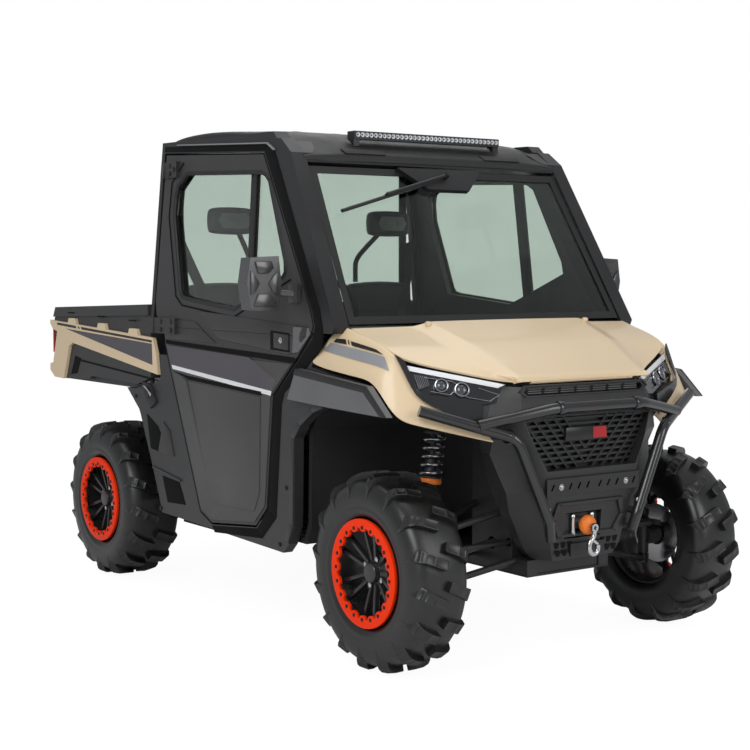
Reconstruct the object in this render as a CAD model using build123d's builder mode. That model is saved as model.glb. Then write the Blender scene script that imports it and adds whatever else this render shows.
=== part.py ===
"""Side by side utility vehicle: closed two-door cab, tipping cargo bed, steered front wheels.

Axes: X forward, Y to the vehicle's left, Z up. The origin is on the ground under the middle
of the vehicle. Everything is in millimetres.
"""
import os
from math import cos, hypot, pi, sin, sqrt

from build123d import *

os.makedirs("parts", exist_ok=True)

# ---------------------------------------------------------------- driving dimensions
overall_length = 2980.0
wheelbase = 2030.0
front_overhang = 355.0           # front axle to the bumper's foremost point
tyre_radius = 340.0              # to the tips of the lugs
front_tyre_width = 222.0
rear_tyre_width = 255.0
rim_radius = 183.6               # outside of the bead ring
ring_face_y = 751.0              # outer face of the bead rings
kingpin_y = 560.0                # steering axis of a front wheel

sill_half_width = 700.0          # body side at the sill
belt_half_width = 712.0          # body side at the belt line
cant_half_width = 645.0          # body side where the roof begins
side_foot_z = 280.0
belt_z = 1115.0
side_top_z = 1875.0

door_thickness = 45.0
panel_thickness = 38.0           # body side panels
sheet_thickness = 20.0           # cab floor and walls
skin_thickness = 24.0            # hood, fenders and roof mouldings
glass_thickness = 6.0
door_gap = 8.0                   # all round each door
floor_z = 355.0                  # underside of the cab floor
rail_half_gauge = 190.0          # frame rails, outer face
rail_width = 45.0
rail_bottom_z = 300.0
rail_height = 50.0
bumper_tube = 38.0
arm_tube = 32.0
hinge_pin_radius = 7.0

bed_floor_z = 842.0              # underside of the bed floor
bed_rail_z = 1203.0              # top of the bed's side rails at the cab
bed_rail_fall = 31.0             # how much lower the rails are at the tailgate
bed_trim_thickness = 14.0
bed_wall = 26.0
bed_floor_thickness = 24.0
tailgate_thickness = 28.0
bed_half_width = 700.0
bed_gap = 22.0                   # cab back to bed front

# ---------------------------------------------------------------- places that follow
front_axle_x = overall_length / 2 - front_overhang
rear_axle_x = front_axle_x - wheelbase
axle_z = tyre_radius
cab_setback = 1135.0             # front axle back to the cab's datum
bed_lead = 895.0                 # rear axle forward to the bed's datum
cab_x = front_axle_x - cab_setback
bed_x = rear_axle_x + bed_lead
cab_back_x = cab_x - 452.0
bed_front_x = cab_back_x - bed_gap
bed_back_x = tailgate_thickness - overall_length / 2
nose_x = front_axle_x


# ---------------------------------------------------------------- drawing helpers
def at_datum(datum, outline):
    """Move a table of (x, z) points along the vehicle."""
    return [(datum + along, up) for along, up in outline]


def side_slab(outline, y_a, y_b, mode=Mode.ADD, grow=0.0):
    """Extrude an outline of (x, z) points across the vehicle between two y values."""
    low, high = sorted((y_a, y_b))
    with BuildSketch(Plane.XZ.offset(-high)) as face:
        with BuildLine():
            Polyline(*outline, close=True)
        make_face()
        if grow:
            offset(amount=grow, kind=Kind.INTERSECTION)
    extrude(face.sketch, amount=high - low, mode=mode)


def cross_slab(outline, x_a, x_b, mode=Mode.ADD):
    """Extrude an outline of (y, z) points along the vehicle between two x values."""
    low, high = sorted((x_a, x_b))
    with BuildSketch(Plane.YZ.offset(low)) as face:
        with BuildLine():
            Polyline(*outline, close=True)
        make_face()
    extrude(face.sketch, amount=high - low, mode=mode)


def block(x_span, y_span, z_span, mode=Mode.ADD):
    """A box from its three spans."""
    spans = (x_span, y_span, z_span)
    with Locations(tuple((a + b) / 2 for a, b in spans)):
        Box(*(abs(b - a) for a, b in spans), mode=mode)


def rod(start, end, radius, mode=Mode.ADD):
    """A round bar between two points."""
    start, end = Vector(*start), Vector(*end)
    with BuildSketch(Plane(origin=start, z_dir=end - start)) as face:
        Circle(radius)
    extrude(face.sketch, amount=(end - start).length, mode=mode)


def bent_tube(points, diameter, bend):
    """A round tube along straight runs joined by arcs."""
    with BuildLine() as path:
        FilletPolyline(*points, radius=bend)
    with BuildSketch(Plane(origin=path.line @ 0, z_dir=path.line % 0)) as face:
        Circle(diameter / 2)
    sweep(face.sketch, path=path.line)


def section_loft(stations, plane=Plane.YZ, mode=Mode.ADD):
    """Join outlines at stations along a plane's normal by flat-sided skin."""
    sections = []
    for station, outline in stations:
        with BuildSketch(plane.offset(station)) as face:
            with BuildLine():
                Polyline(*outline, close=True)
            make_face()
        sections.append(face.sketch)
    loft(sections, ruled=True, mode=mode)


def skin_band(side, outer_depth, inner_depth):
    """Outline (y, z) of a wall that follows the body side, between two depths below its skin."""
    line = (
        (sill_half_width, side_foot_z),
        (belt_half_width, belt_z),
        (cant_half_width, side_top_z),
    )
    outer = [(side * (half - outer_depth), up) for half, up in line]
    inner = [(side * (half - inner_depth), up) for half, up in reversed(line)]
    return outer + inner


def skin_y(up):
    """Half width of the body side at a height."""
    if up < belt_z:
        share = (up - side_foot_z) / (belt_z - side_foot_z)
        return sill_half_width + share * (belt_half_width - sill_half_width)
    share = (up - belt_z) / (side_top_z - belt_z)
    return belt_half_width + share * (cant_half_width - belt_half_width)


def mirrored(outline):
    """Close a half outline of (half width, other) points with its mirror image."""
    return list(outline) + [(-half, other) for half, other in reversed(outline)]


sides = ((-1, "right"), (1, "left"))
body_reach = (cab_x - 900, cab_x + 1400)

# ---------------------------------------------------------------- chassis frame
tower_top_z = 830.0
rear_tower_top_z = 700.0
frame_front_x = nose_x + 190
frame_back_x = rear_axle_x - 330
rail_top_z = rail_bottom_z + rail_height
cross_member_places = (frame_back_x + 30, rear_axle_x + 200, cab_x - 80, cab_x + 300, nose_x - 150,
                       frame_front_x - 30)
bed_pivot_x = bed_x - 1205.0
bed_pivot_z = 740.0
bed_pivot_radius = 14.0
bed_pivot_half = 250.0
bed_lug_width = 24.0
axles = ((front_axle_x, "front"), (rear_axle_x, "rear"))
shaft_radius = 13.0
shaft_end_y = 488.0
shaft_inner_z = axle_z + 60
shaft_outer_z = axle_z + 6
rack_x = nose_x + 92.0
rack_z = axle_z + 62.0
rack_radius = 9.0

with BuildPart() as main_frame:
    for side, _ in sides:
        rail_inner = side * (rail_half_gauge - rail_width)
        rail_outer = side * rail_half_gauge
        block((frame_back_x, frame_front_x), (rail_inner, rail_outer), (rail_bottom_z, rail_top_z))
        block((nose_x - 110, nose_x + 110), (rail_inner, rail_outer), (rail_bottom_z, tower_top_z))
        block((rear_axle_x - 90, rear_axle_x + 90), (rail_inner, rail_outer),
              (rail_bottom_z, rear_tower_top_z))
        block((bed_pivot_x - 40, bed_front_x - 20), (rail_inner, rail_outer),
              (rear_tower_top_z - rail_height, rear_tower_top_z))
        block((frame_back_x, frame_back_x + rail_width), (rail_inner, rail_outer),
              (rail_bottom_z, rear_tower_top_z))
        block((cab_back_x - 60, cab_back_x - 15), (rail_inner, rail_outer),
              (rail_bottom_z, rear_tower_top_z))
    for place in cross_member_places:
        block((place - 25, place + 25), (-rail_half_gauge, rail_half_gauge),
              (rail_bottom_z, rail_top_z))
    block((nose_x - 110, nose_x + 110), (-rail_half_gauge, rail_half_gauge),
          (tower_top_z - rail_height, tower_top_z))
    block((rear_axle_x - 90, rear_axle_x + 90), (-rail_half_gauge, rail_half_gauge),
          (rear_tower_top_z - rail_height, rear_tower_top_z))
    for side, _ in sides:
        lug_inner = side * (bed_pivot_half - bed_lug_width)
        block((bed_pivot_x - 26, bed_pivot_x + 26), (side * (rail_half_gauge - rail_width), lug_inner),
              (rear_tower_top_z - rail_height, rear_tower_top_z))
        block((bed_pivot_x - 26, bed_pivot_x + 26), (lug_inner, lug_inner - side * bed_lug_width),
              (rear_tower_top_z - rail_height, bed_pivot_z + 24))
        rod((bed_pivot_x, lug_inner - side * bed_lug_width, bed_pivot_z),
            (bed_pivot_x, side * (bed_pivot_half + bed_lug_width), bed_pivot_z), bed_pivot_radius)
    for axle_x, _ in axles:
        for side, _ in sides:
            rod((axle_x, side * 100, shaft_inner_z), (axle_x, side * shaft_end_y, shaft_outer_z),
                shaft_radius + 9, mode=Mode.SUBTRACT)
    rod((rack_x, -rail_half_gauge - 20, rack_z), (rack_x, rail_half_gauge + 20, rack_z),
        rack_radius + 6, mode=Mode.SUBTRACT)
main_frame.part.label = "main_frame"
export_step(main_frame.part, "parts/main_frame.step")

with BuildPart() as underbody_skid:
    block((frame_back_x + 20, frame_front_x), (-rail_half_gauge, rail_half_gauge),
          (rail_bottom_z - 8, rail_bottom_z))
underbody_skid.part.label = "underbody_skid"
export_step(underbody_skid.part, "parts/underbody_skid.step")

engine_length = 300.0
engine_front_x = cab_back_x - 34
with BuildPart() as engine_block:
    block((engine_front_x - engine_length, engine_front_x), (-138, 138), (rail_top_z + 6, 640))
engine_block.part.label = "engine_block"
export_step(engine_block.part, "parts/engine_block.step")

# ---------------------------------------------------------------- receiver hitch
receiver_half = 32.0
receiver_bore = 51.0
hitch_pin_radius = 8.25
receiver_z = rail_top_z + 45
with BuildPart() as rear_hitch:
    block((frame_back_x - 60, frame_back_x), (-receiver_half, receiver_half),
          (receiver_z - receiver_half, receiver_z + receiver_half))
    block((frame_back_x - 10, frame_back_x), (-rail_half_gauge, rail_half_gauge),
          (rail_bottom_z, receiver_z + 60))
    block((frame_back_x - 70, frame_back_x + 1), (-receiver_bore / 2, receiver_bore / 2),
          (receiver_z - receiver_bore / 2, receiver_z + receiver_bore / 2), mode=Mode.SUBTRACT)
    rod((frame_back_x - 36, -receiver_half - 5, receiver_z),
        (frame_back_x - 36, receiver_half + 5, receiver_z),
        hitch_pin_radius, mode=Mode.SUBTRACT)
rear_hitch.part.label = "rear_hitch"
export_step(rear_hitch.part, "parts/rear_hitch.step")

# ---------------------------------------------------------------- cab tub
tub_half_width = skin_y(side_foot_z) - door_thickness - 7
seat_base_z = 610.0
tub_line = at_datum(cab_x, (
    (-448, floor_z), (-448, 1140), (-428, 1140), (-428, seat_base_z),
    (100, seat_base_z), (100, floor_z + sheet_thickness), (626, floor_z + sheet_thickness),
    (652, 440), (660, 790), (712, 860), (800, 900), (846, 1126), (866, 1126), (824, 882),
    (724, 840), (680, 776), (672, 424), (640, floor_z),
    (80, floor_z), (80, seat_base_z - sheet_thickness), (-428, seat_base_z - sheet_thickness),
    (-428, floor_z),
))
with BuildPart() as cab_tub:
    side_slab(tub_line, -tub_half_width, tub_half_width)
cab_tub.part.label = "cab_tub"
export_step(cab_tub.part, "parts/cab_tub.step")

dash_half_width = 600.0
dash_line = at_datum(cab_x, ((838, 1130), (630, 1120), (575, 1075), (570, 985), (630, 900), (790, 905)))
with BuildPart() as dashboard:
    side_slab(dash_line, -dash_half_width, dash_half_width)
dashboard.part.label = "dashboard"
export_step(dashboard.part, "parts/dashboard.step")

# ---------------------------------------------------------------- seats
seat_width = 372.0
seat_top_z = 1310.0
seat_places = (-400.0, 0.0, 400.0)
cushion_line = at_datum(cab_x, ((-300, seat_base_z), (-310, 720), (60, 745), (110, 715),
                                (110, seat_base_z)))
back_line = at_datum(cab_x, ((-318, 712), (-424, 716), (-424, 1270), (-404, seat_top_z), (-352, seat_top_z),
                             (-338, 1270)))
with BuildPart() as seat_cushions:
    for place in seat_places:
        side_slab(cushion_line, place - seat_width / 2, place + seat_width / 2)
seat_cushions.part.label = "seat_cushions"
export_step(seat_cushions.part, "parts/seat_cushions.step")

with BuildPart() as seat_backs:
    for place in seat_places:
        side_slab(back_line, place - seat_width / 2, place + seat_width / 2)
seat_backs.part.label = "seat_backs"
export_step(seat_backs.part, "parts/seat_backs.step")

headrest_z = 1545.0
headrest_width = 230.0
headrest_line = at_datum(cab_x, ((-352, headrest_z - 58), (-352, headrest_z + 52),
                                 (-330, headrest_z + 66), (-292, headrest_z + 50),
                                 (-276, headrest_z), (-290, headrest_z - 58)))
with BuildPart() as headrests:
    for place in (seat_places[0], seat_places[2]):
        side_slab(headrest_line, place - headrest_width / 2, place + headrest_width / 2)
        inboard = -1 if place > 0 else 1
        bent_tube(((cab_x - 325, place + inboard * 40, headrest_z - 40),
                   (cab_x - 380, place + inboard * 130, 1390),
                   (cab_x - 380, place + inboard * 130, seat_top_z)), 22, 30)
headrests.part.label = "headrests"
export_step(headrests.part, "parts/headrests.step")

# ---------------------------------------------------------------- door outlines (x ahead of the cab datum, z)
door_outline = at_datum(cab_x, (
    (-408, 1815), (-418, 1220), (-402, 1160), (-334, 1120), (-320, 1043), (-51, 394), (37, 358),
    (372, 393), (452, 468), (510, 895), (673, 1034), (765, 1119), (777, 1151), (751, 1206),
    (361, 1774),
))
window_outline = at_datum(cab_x, (
    (-222, 1733), (-308, 1668), (-309, 1567), (-204, 1236), (223, 1197), (571, 1328), (565, 1375),
    (415, 1676), (358, 1708), (264, 1713),
))

# ---------------------------------------------------------------- roof
roof_table = (  # x ahead of the cab datum, half width, rim z, edge z, shoulder half width, crown z
    (-512, 560, 1836, 1850, 430, 1872),
    (-440, 628, 1830, 1870, 480, 1892),
    (0, 646, 1818, 1869, 500, 1894),
    (330, 642, 1797, 1848, 500, 1872),
    (480, 628, 1780, 1800, 470, 1830),
    (566, 604, 1748, 1762, 440, 1774),
)


def roof_sections(rows, inset):
    """Roof cross-sections, drawn in by an inset."""
    stations = []
    for along, half, rim_z, edge_z, shoulder, crown_z in rows:
        outline = mirrored((
            (half - inset, rim_z - (inset and 2)),
            (half - inset, edge_z - inset),
            (shoulder - inset / 2, crown_z - inset),
        ))
        stations.append((cab_x + along, outline))
    return stations


# ---------------------------------------------------------------- cab frame
screen_top = (cab_x + 566, 1722)
screen_foot = (cab_x + 900, 1157)
post_depth = 62.0
back_post_line = at_datum(cab_x, ((-452, 1140), (-452, 1850), (-426, 1850), (-426, 1140)))
front_post_line = at_datum(cab_x, ((361, 1774), (361, 1840), (480, 1825), (552, 1772), (912, 1150),
                                   (900, 1128), (760, 1128), (751, 1206)))
roof_rail_line = at_datum(cab_x, ((-452, 1825), (-452, 1868), (420, 1855), (480, 1800), (361, 1774)))
screen_sill_line = at_datum(cab_x, ((912, 1146), (900, 1128), (868, 1132), (880, 1150)))
with BuildPart() as cab_frame:
    for side, _ in sides:
        side_slab(front_post_line, side * 560, side * 760)
        side_slab(back_post_line, side * 560, side * 760)
        side_slab(roof_rail_line, side * 560, side * 760)
    for side, _ in sides:
        side_slab(door_outline, side * 540, side * 780, mode=Mode.SUBTRACT, grow=door_gap)
    both_sides = [(-skin_y(side_foot_z), side_foot_z), (-skin_y(belt_z), belt_z),
                  (-skin_y(side_top_z), side_top_z), (skin_y(side_top_z), side_top_z),
                  (skin_y(belt_z), belt_z), (skin_y(side_foot_z), side_foot_z)]
    cross_slab(both_sides, *body_reach, mode=Mode.INTERSECT)
    inner_void = [(-skin_y(side_foot_z) + post_depth, side_foot_z - 20),
                  (-skin_y(belt_z) + post_depth, belt_z),
                  (-skin_y(side_top_z) + post_depth, side_top_z + 20),
                  (skin_y(side_top_z) - post_depth, side_top_z + 20),
                  (skin_y(belt_z) - post_depth, belt_z),
                  (skin_y(side_foot_z) - post_depth, side_foot_z - 20)]
    cross_slab(inner_void, *body_reach, mode=Mode.SUBTRACT)
    header_half = skin_y(1760) - post_depth + 4
    sill_half = skin_y(1150) - post_depth + 4
    side_slab(at_datum(cab_x, ((552, 1772), (568, 1738), (545, 1728), (470, 1790), (480, 1820))),
              -header_half, header_half)
    side_slab(screen_sill_line, -sill_half, sill_half)
    side_slab(at_datum(cab_x, ((-452, 1770), (-452, 1850), (-426, 1850), (-426, 1770))),
              -header_half, header_half)
    side_slab(at_datum(cab_x, ((-452, 1142), (-452, 1200), (-426, 1200), (-426, 1142))),
              -sill_half, sill_half)
    section_loft(roof_sections(roof_table, 0), mode=Mode.SUBTRACT)
cab_frame.part.label = "cab_frame"
export_step(cab_frame.part, "parts/cab_frame.step")

with BuildPart() as roof_shell:
    section_loft(roof_sections(roof_table, 0))
    section_loft(roof_sections(roof_table[1:4], skin_thickness), mode=Mode.SUBTRACT)
roof_shell.part.label = "roof_shell"
export_step(roof_shell.part, "parts/roof_shell.step")

light_bar_x = cab_x + 492.0
light_bar_z = 1850.0
light_bar_half = 350.0
with BuildPart() as light_bar:
    block((light_bar_x - 24, light_bar_x + 24), (-light_bar_half, light_bar_half),
          (light_bar_z - 14, light_bar_z + 16))
    for side, _ in sides:
        block((light_bar_x - 18, light_bar_x + 18), (side * light_bar_half, side * (light_bar_half - 26)),
              (light_bar_z - 46, light_bar_z - 14))
    section_loft(roof_sections(roof_table, 0), mode=Mode.SUBTRACT)
light_bar.part.label = "light_bar"
export_step(light_bar.part, "parts/light_bar.step")

# ---------------------------------------------------------------- fixed glass and wiper
screen_slope = hypot(screen_foot[0] - screen_top[0], screen_top[1] - screen_foot[1])
screen_plane = Plane(
    origin=(screen_foot[0], 0, screen_foot[1]),
    x_dir=(0, 1, 0),
    z_dir=(screen_top[1] - screen_foot[1], 0, screen_foot[0] - screen_top[0]),
)
screen_top_half = skin_y(screen_top[1]) - post_depth - 4
screen_foot_half = skin_y(screen_foot[1]) - post_depth - 4
with BuildPart() as windscreen:
    with BuildSketch(screen_plane) as pane:
        with BuildLine():
            Polyline((-screen_foot_half, 0), (screen_foot_half, 0), (screen_top_half, screen_slope),
                     (-screen_top_half, screen_slope), close=True)
        make_face()
    extrude(pane.sketch, amount=-glass_thickness)
windscreen.part.label = "windscreen"
export_step(windscreen.part, "parts/windscreen.step")

with BuildPart() as rear_glass:
    block((cab_back_x + 8, cab_back_x + 8 + glass_thickness), (-575, 575), (1200, 1770))
rear_glass.part.label = "rear_glass"
export_step(rear_glass.part, "parts/rear_glass.step")


def on_screen(across, up, proud=0.0):
    """A point of the windscreen's outer face, across from the middle and up the slope."""
    return tuple(screen_plane.from_local_coords(Vector(across, up, proud)))


with BuildPart() as wiper:
    with BuildSketch(screen_plane.offset(1)) as pod:
        with BuildLine():
            Polyline((-205, screen_slope - 4), (-90, screen_slope - 96), (107, screen_slope - 96),
                     (197, screen_slope - 4), close=True)
        make_face()
    extrude(pod.sketch, amount=22)
    rod(on_screen(6, screen_slope - 40, 10), on_screen(6, screen_slope - 40, 52), 11)
    rod(on_screen(6, screen_slope - 40, 42), on_screen(-300, screen_slope - 128, 30), 6)
    rod(on_screen(-90, screen_slope - 70, 22), on_screen(-516, screen_slope - 196, 12), 7)
    rod(on_screen(-300, screen_slope - 128, 34), on_screen(-300, screen_slope - 128, 10), 6)
wiper.part.label = "wiper"
export_step(wiper.part, "parts/wiper.step")

# ---------------------------------------------------------------- body side panels
lower_side_line = at_datum(cab_x, (
    (-680, 845), (-573, 761), (-561, 742), (-470, 551), (-400, 391), (-383, 343), (-252, 340),
    (565, 318), (604, 355), (640, 425), (655, 745), (700, 798), (780, 850), (850, 872), (1150, 864),
    (1140, 950), (772, 1008), (800, 1100), (775, 1122), (-280, 1000), (-369, 1000), (-370, 903),
    (-412, 881), (-600, 845),
))
surround_width = 30.0            # black band ahead of each door
bed_ledge_y = 680.0              # the bed floor rests inside this, over the side panels
surround_line = at_datum(cab_x, ((396, 442), (452, 468), (510, 895), (673, 1034), (735, 1088), (500, 1088)))
with BuildPart() as side_panels:
    for side, _ in sides:
        side_slab(lower_side_line, side * 600, side * 780)
    for side, _ in sides:
        side_slab(door_outline, side * 540, side * 800, mode=Mode.SUBTRACT, grow=door_gap)
        side_slab(surround_line, side * 540, side * 800, mode=Mode.SUBTRACT, grow=surround_width)
        block((cab_x - 700, cab_x - 400), (side * 600, side * bed_ledge_y), (bed_floor_z - 5, 920),
              mode=Mode.SUBTRACT)
    cross_slab(both_sides, *body_reach, mode=Mode.INTERSECT)
    cross_slab([(half * (1 - panel_thickness / abs(half)), up) for half, up in both_sides],
               *body_reach, mode=Mode.SUBTRACT)
side_panels.part.label = "side_panels"
export_step(side_panels.part, "parts/side_panels.step")

with BuildPart() as door_surrounds:
    for side, _ in sides:
        side_slab(surround_line, side * 600, side * 780, grow=surround_width)
    for side, _ in sides:
        side_slab(door_outline, side * 540, side * 800, mode=Mode.SUBTRACT, grow=door_gap)
    cross_slab([(half * (1 - 4 / abs(half)), up) for half, up in both_sides],
               *body_reach, mode=Mode.INTERSECT)
    cross_slab([(half * (1 - panel_thickness / abs(half)), up) for half, up in both_sides],
               *body_reach, mode=Mode.SUBTRACT)
door_surrounds.part.label = "door_surrounds"
export_step(door_surrounds.part, "parts/door_surrounds.step")

# ---------------------------------------------------------------- headlamps
lamp_depth = 58.0
lamp_corners = (  # inner top, outer top, outer tip, outer foot, inner foot: (x ahead of nose, y, z)
    (219, 304, 962), (52, 600, 1026), (32, 628, 1044), (112, 600, 934), (192, 414, 898), (222, 330, 905),
)
with BuildPart() as headlamps:
    for side, _ in sides:
        corners = [Vector(nose_x + along, side * across, up) for along, across, up in lamp_corners]
        lamp_plane = Plane(origin=corners[0], x_dir=corners[1] - corners[0],
                           z_dir=(corners[1] - corners[0]).cross(corners[4] - corners[0]) * -side)
        flat = [lamp_plane.to_local_coords(corner) for corner in corners]
        with BuildSketch(lamp_plane) as face:
            with BuildLine():
                Polyline(*((corner.X, corner.Y) for corner in flat), close=True)
            make_face()
        extrude(face.sketch, amount=-lamp_depth)
headlamps.part.label = "headlamps"
export_step(headlamps.part, "parts/headlamps.step")

# ---------------------------------------------------------------- front fenders
liner_line = at_datum(nose_x, (
    (-303, 870), (-216, 898), (10, 914), (60, 902), (60, 914), (12, 927), (-218, 911), (-303, 884),
))
liner_inner_y = 370.0
with BuildPart() as fender_liners:
    for side, _ in sides:
        side_slab(liner_line, side * liner_inner_y, side * 640)
    add(headlamps.part, mode=Mode.SUBTRACT)
fender_liners.part.label = "fender_liners"
export_step(fender_liners.part, "parts/fender_liners.step")

flare_line = at_datum(nose_x, ((-419, 1000), (11, 964), (123, 869), (-269, 880), (-476, 889)))
flare_y = (belt_half_width + 1, 742.0)
with BuildPart() as fender_flares:
    for side, _ in sides:
        side_slab(flare_line, side * flare_y[0], side * flare_y[1])
fender_flares.part.label = "fender_flares"
export_step(fender_flares.part, "parts/fender_flares.step")

# ---------------------------------------------------------------- hood lid
hood_table = (  # x from nose datum, crown half and z, foot half and z, fold half and z
    (-150, (356, 1166), (414, 1143), (645, 1126)),
    (18, (333, 1104), (397, 1082), (630, 1066)),
    (44, (330, 1094), (392, 1072), (600, 1046)),
    (120, (318, 1056), (363, 1037), (468, 1013)),
    (196, (305, 1016), (326, 1000), (337, 982)),
    (258, (291, 990), (296, 987), (299, 984)),
)
wing_table = (  # x from nose datum, inner (y, z), outer (y, z): the lid's rear wings
    (-212, (604, 1152), (651, 1146)),
    (-150, (380, 1150), (645, 1126)),
)
lid_thickness = 12.0
hood_hinge_x = nose_x + 250.0
hood_hinge_z = 972.0
hood_barrel_half = 236.0
lid_clearance = 6.0


def lid_clear_sections():
    """The room the lid needs, open above it."""
    stations = []
    for along, _, _, (fold_y, fold_z) in hood_table:
        stations.append((nose_x + along, mirrored((
            (fold_y + lid_clearance, fold_z - lid_thickness - lid_clearance),
            (fold_y + lid_clearance, fold_z + 60)))))
    return stations


# ---------------------------------------------------------------- cowl sides
cowl_table = (  # x ahead of the nose datum, upper edge (y, z), lower edge (y, z)
    (-275, (662, 1128), (706, 1002)),
    (-205, (657, 1124), (706, 998)),
    (5, (642, 1066), (704, 980)),
    (13, (640, 1062), (703, 976)),
)
cowl_tip_table = (  # y, upper (x, z), lower (x, z)
    (-704, (-10, 1040), (6, 976)),
    (-690, (20, 1052), (97, 870)),
    (-655, (42, 1046), (124, 852)),
    (-600, (110, 925), (153, 836)),
    (-500, (157, 870), (206, 809)),
    (-400, (210, 824), (257, 784)),
)
with BuildPart() as cowl_sides:
    for side, _ in sides:
        wall = skin_thickness
        stations = []
        for along, (top_y, top_z), (low_y, low_z) in cowl_table:
            stations.append((nose_x + along, [
                (side * top_y, top_z), (side * low_y, low_z),
                (side * (low_y - wall), low_z), (side * (top_y - wall), top_z)]))
        section_loft(stations)
        stations = [(nose_x - 362, [(side * 706, 1022), (side * 706, 1030), (side * 682, 1030),
                                    (side * 682, 1022)]),
                    (nose_x - 275, [(side * 706, 1002), (side * 662, 1128), (side * 638, 1128),
                                    (side * 682, 1002)])]
        section_loft(stations)
        stations = []
        for across, (up_x, up_z), (low_x, low_z) in cowl_tip_table:
            outline = [(nose_x + up_x, up_z), (nose_x + low_x, low_z),
                       (nose_x + low_x - wall, low_z), (nose_x + up_x - wall, up_z)]
            stations.append((-side * abs(across), outline))
        stations.sort(key=lambda row: row[0])
        section_loft(stations, plane=Plane.XZ)
        side_slab(front_post_line, side * 560, side * 760, mode=Mode.SUBTRACT, grow=2)
    side_slab(tub_line, -tub_half_width - 2, tub_half_width + 2, mode=Mode.SUBTRACT)
    side_slab(screen_sill_line, -sill_half, sill_half, mode=Mode.SUBTRACT, grow=2)
    add(headlamps.part, mode=Mode.SUBTRACT)
    add(side_panels.part, mode=Mode.SUBTRACT)
    section_loft(lid_clear_sections(), mode=Mode.SUBTRACT)
cowl_sides.part.label = "cowl_sides"
export_step(cowl_sides.part, "parts/cowl_sides.step")

cowl_half = 480.0
with BuildPart() as cowl_panel:
    side_slab(at_datum(nose_x, ((-222, 1124), (-160, 1118), (-158, 1096), (-262, 1100))),
              -cowl_half, cowl_half)
cowl_panel.part.label = "cowl_panel"
export_step(cowl_panel.part, "parts/cowl_panel.step")

with BuildPart() as hood:
    outer = []
    inner = []
    for along, (crown_y, crown_z), (foot_y, foot_z), (fold_y, fold_z) in hood_table:
        wall = lid_thickness
        outer.append((nose_x + along, mirrored((
            (fold_y, fold_z - wall), (fold_y, fold_z), (foot_y, foot_z), (crown_y, crown_z)))))
        inner.append((nose_x + along, mirrored((
            (fold_y - wall, fold_z - 2 * wall), (fold_y - wall, fold_z - wall),
            (foot_y - wall / 2, foot_z - wall), (crown_y - wall / 2, crown_z - wall)))))
    section_loft(outer)
    for side, _ in sides:
        stations = []
        for along, (in_y, in_z), (out_y, out_z) in wing_table:
            stations.append((nose_x + along, [
                (side * in_y, in_z), (side * out_y, out_z), (side * out_y, out_z - wall),
                (side * in_y, in_z - wall)]))
        section_loft(stations)
    section_loft(inner[:-1], mode=Mode.SUBTRACT)
    rod((hood_hinge_x, -hood_barrel_half, hood_hinge_z), (hood_hinge_x, hood_barrel_half, hood_hinge_z),
        hinge_pin_radius)
hood.part.label = "hood"
export_step(hood.part, "parts/hood.step")

# ---------------------------------------------------------------- front fascia
fascia_table = (  # z, front x, front half width, side x, side half width, back x; x from the nose datum
    (355, 262, 140, 182, 168, 120),
    (395, 276, 160, 186, 205, 120),
    (530, 290, 190, 210, 290, 130),
    (603, 304, 200, 240, 330, 135),
    (663, 308, 213, 226, 352, 135),
    (732, 302, 240, 205, 372, 135),
    (785, 296, 268, 228, 378, 135),
    (861, 283, 301, 196, 398, 135),
    (905, 272, 292, 192, 384, 135),
    (958, 264, 287, 200, 330, 135),
)
grille_recess = 40.0
grille_top_z = 852.0
grille_line = ((205, 672), (246, 745), (290, 846), (150, grille_top_z), (-150, grille_top_z), (-290, 846),
               (-246, 745), (-205, 672))
vent_line = ((262, 928), (276, 939), (266, 951), (-266, 951), (-276, 939), (-262, 928))
winch_y = -20.0
winch_window_half = 82.0
winch_window_z = (430, 520)
wing_panel_table = (  # half width, upper (x, z), lower (x, z) of the panel under each lamp
    (588, (117, 934), (114, 926)),
    (500, (155, 914), (156, 874)),
    (400, (196, 896), (209, 828)),
    (330, (218, 906), (240, 800)),
)
with BuildPart() as front_fascia:
    stations = []
    for up, front, front_half, flank, flank_half, back in fascia_table:
        stations.append((up, [
            (nose_x + front, front_half), (nose_x + flank, flank_half), (nose_x + back, flank_half - 20),
            (nose_x + back, 20 - flank_half), (nose_x + flank, -flank_half),
            (nose_x + front, -front_half)]))
    section_loft(stations, plane=Plane.XY)
    cross_slab(grille_line, nose_x + 286 - grille_recess, nose_x + 400, mode=Mode.SUBTRACT)
    for side, _ in sides:
        stations = []
        for half, (up_x, up_z), (low_x, low_z) in wing_panel_table:
            stations.append((-side * half, [
                (nose_x + up_x, up_z), (nose_x + low_x, low_z),
                (nose_x + low_x - skin_thickness, low_z), (nose_x + up_x - skin_thickness, up_z)]))
        stations.sort(key=lambda row: row[0])
        section_loft(stations, plane=Plane.XZ)
    cross_slab(vent_line, nose_x + 240, nose_x + 400, mode=Mode.SUBTRACT)
    block((nose_x + 150, nose_x + 400), (winch_y - winch_window_half, winch_y + winch_window_half),
          winch_window_z, mode=Mode.SUBTRACT)
    add(headlamps.part, mode=Mode.SUBTRACT)
    add(cowl_sides.part, mode=Mode.SUBTRACT)
front_fascia.part.label = "front_fascia"
export_step(front_fascia.part, "parts/front_fascia.step")

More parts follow.
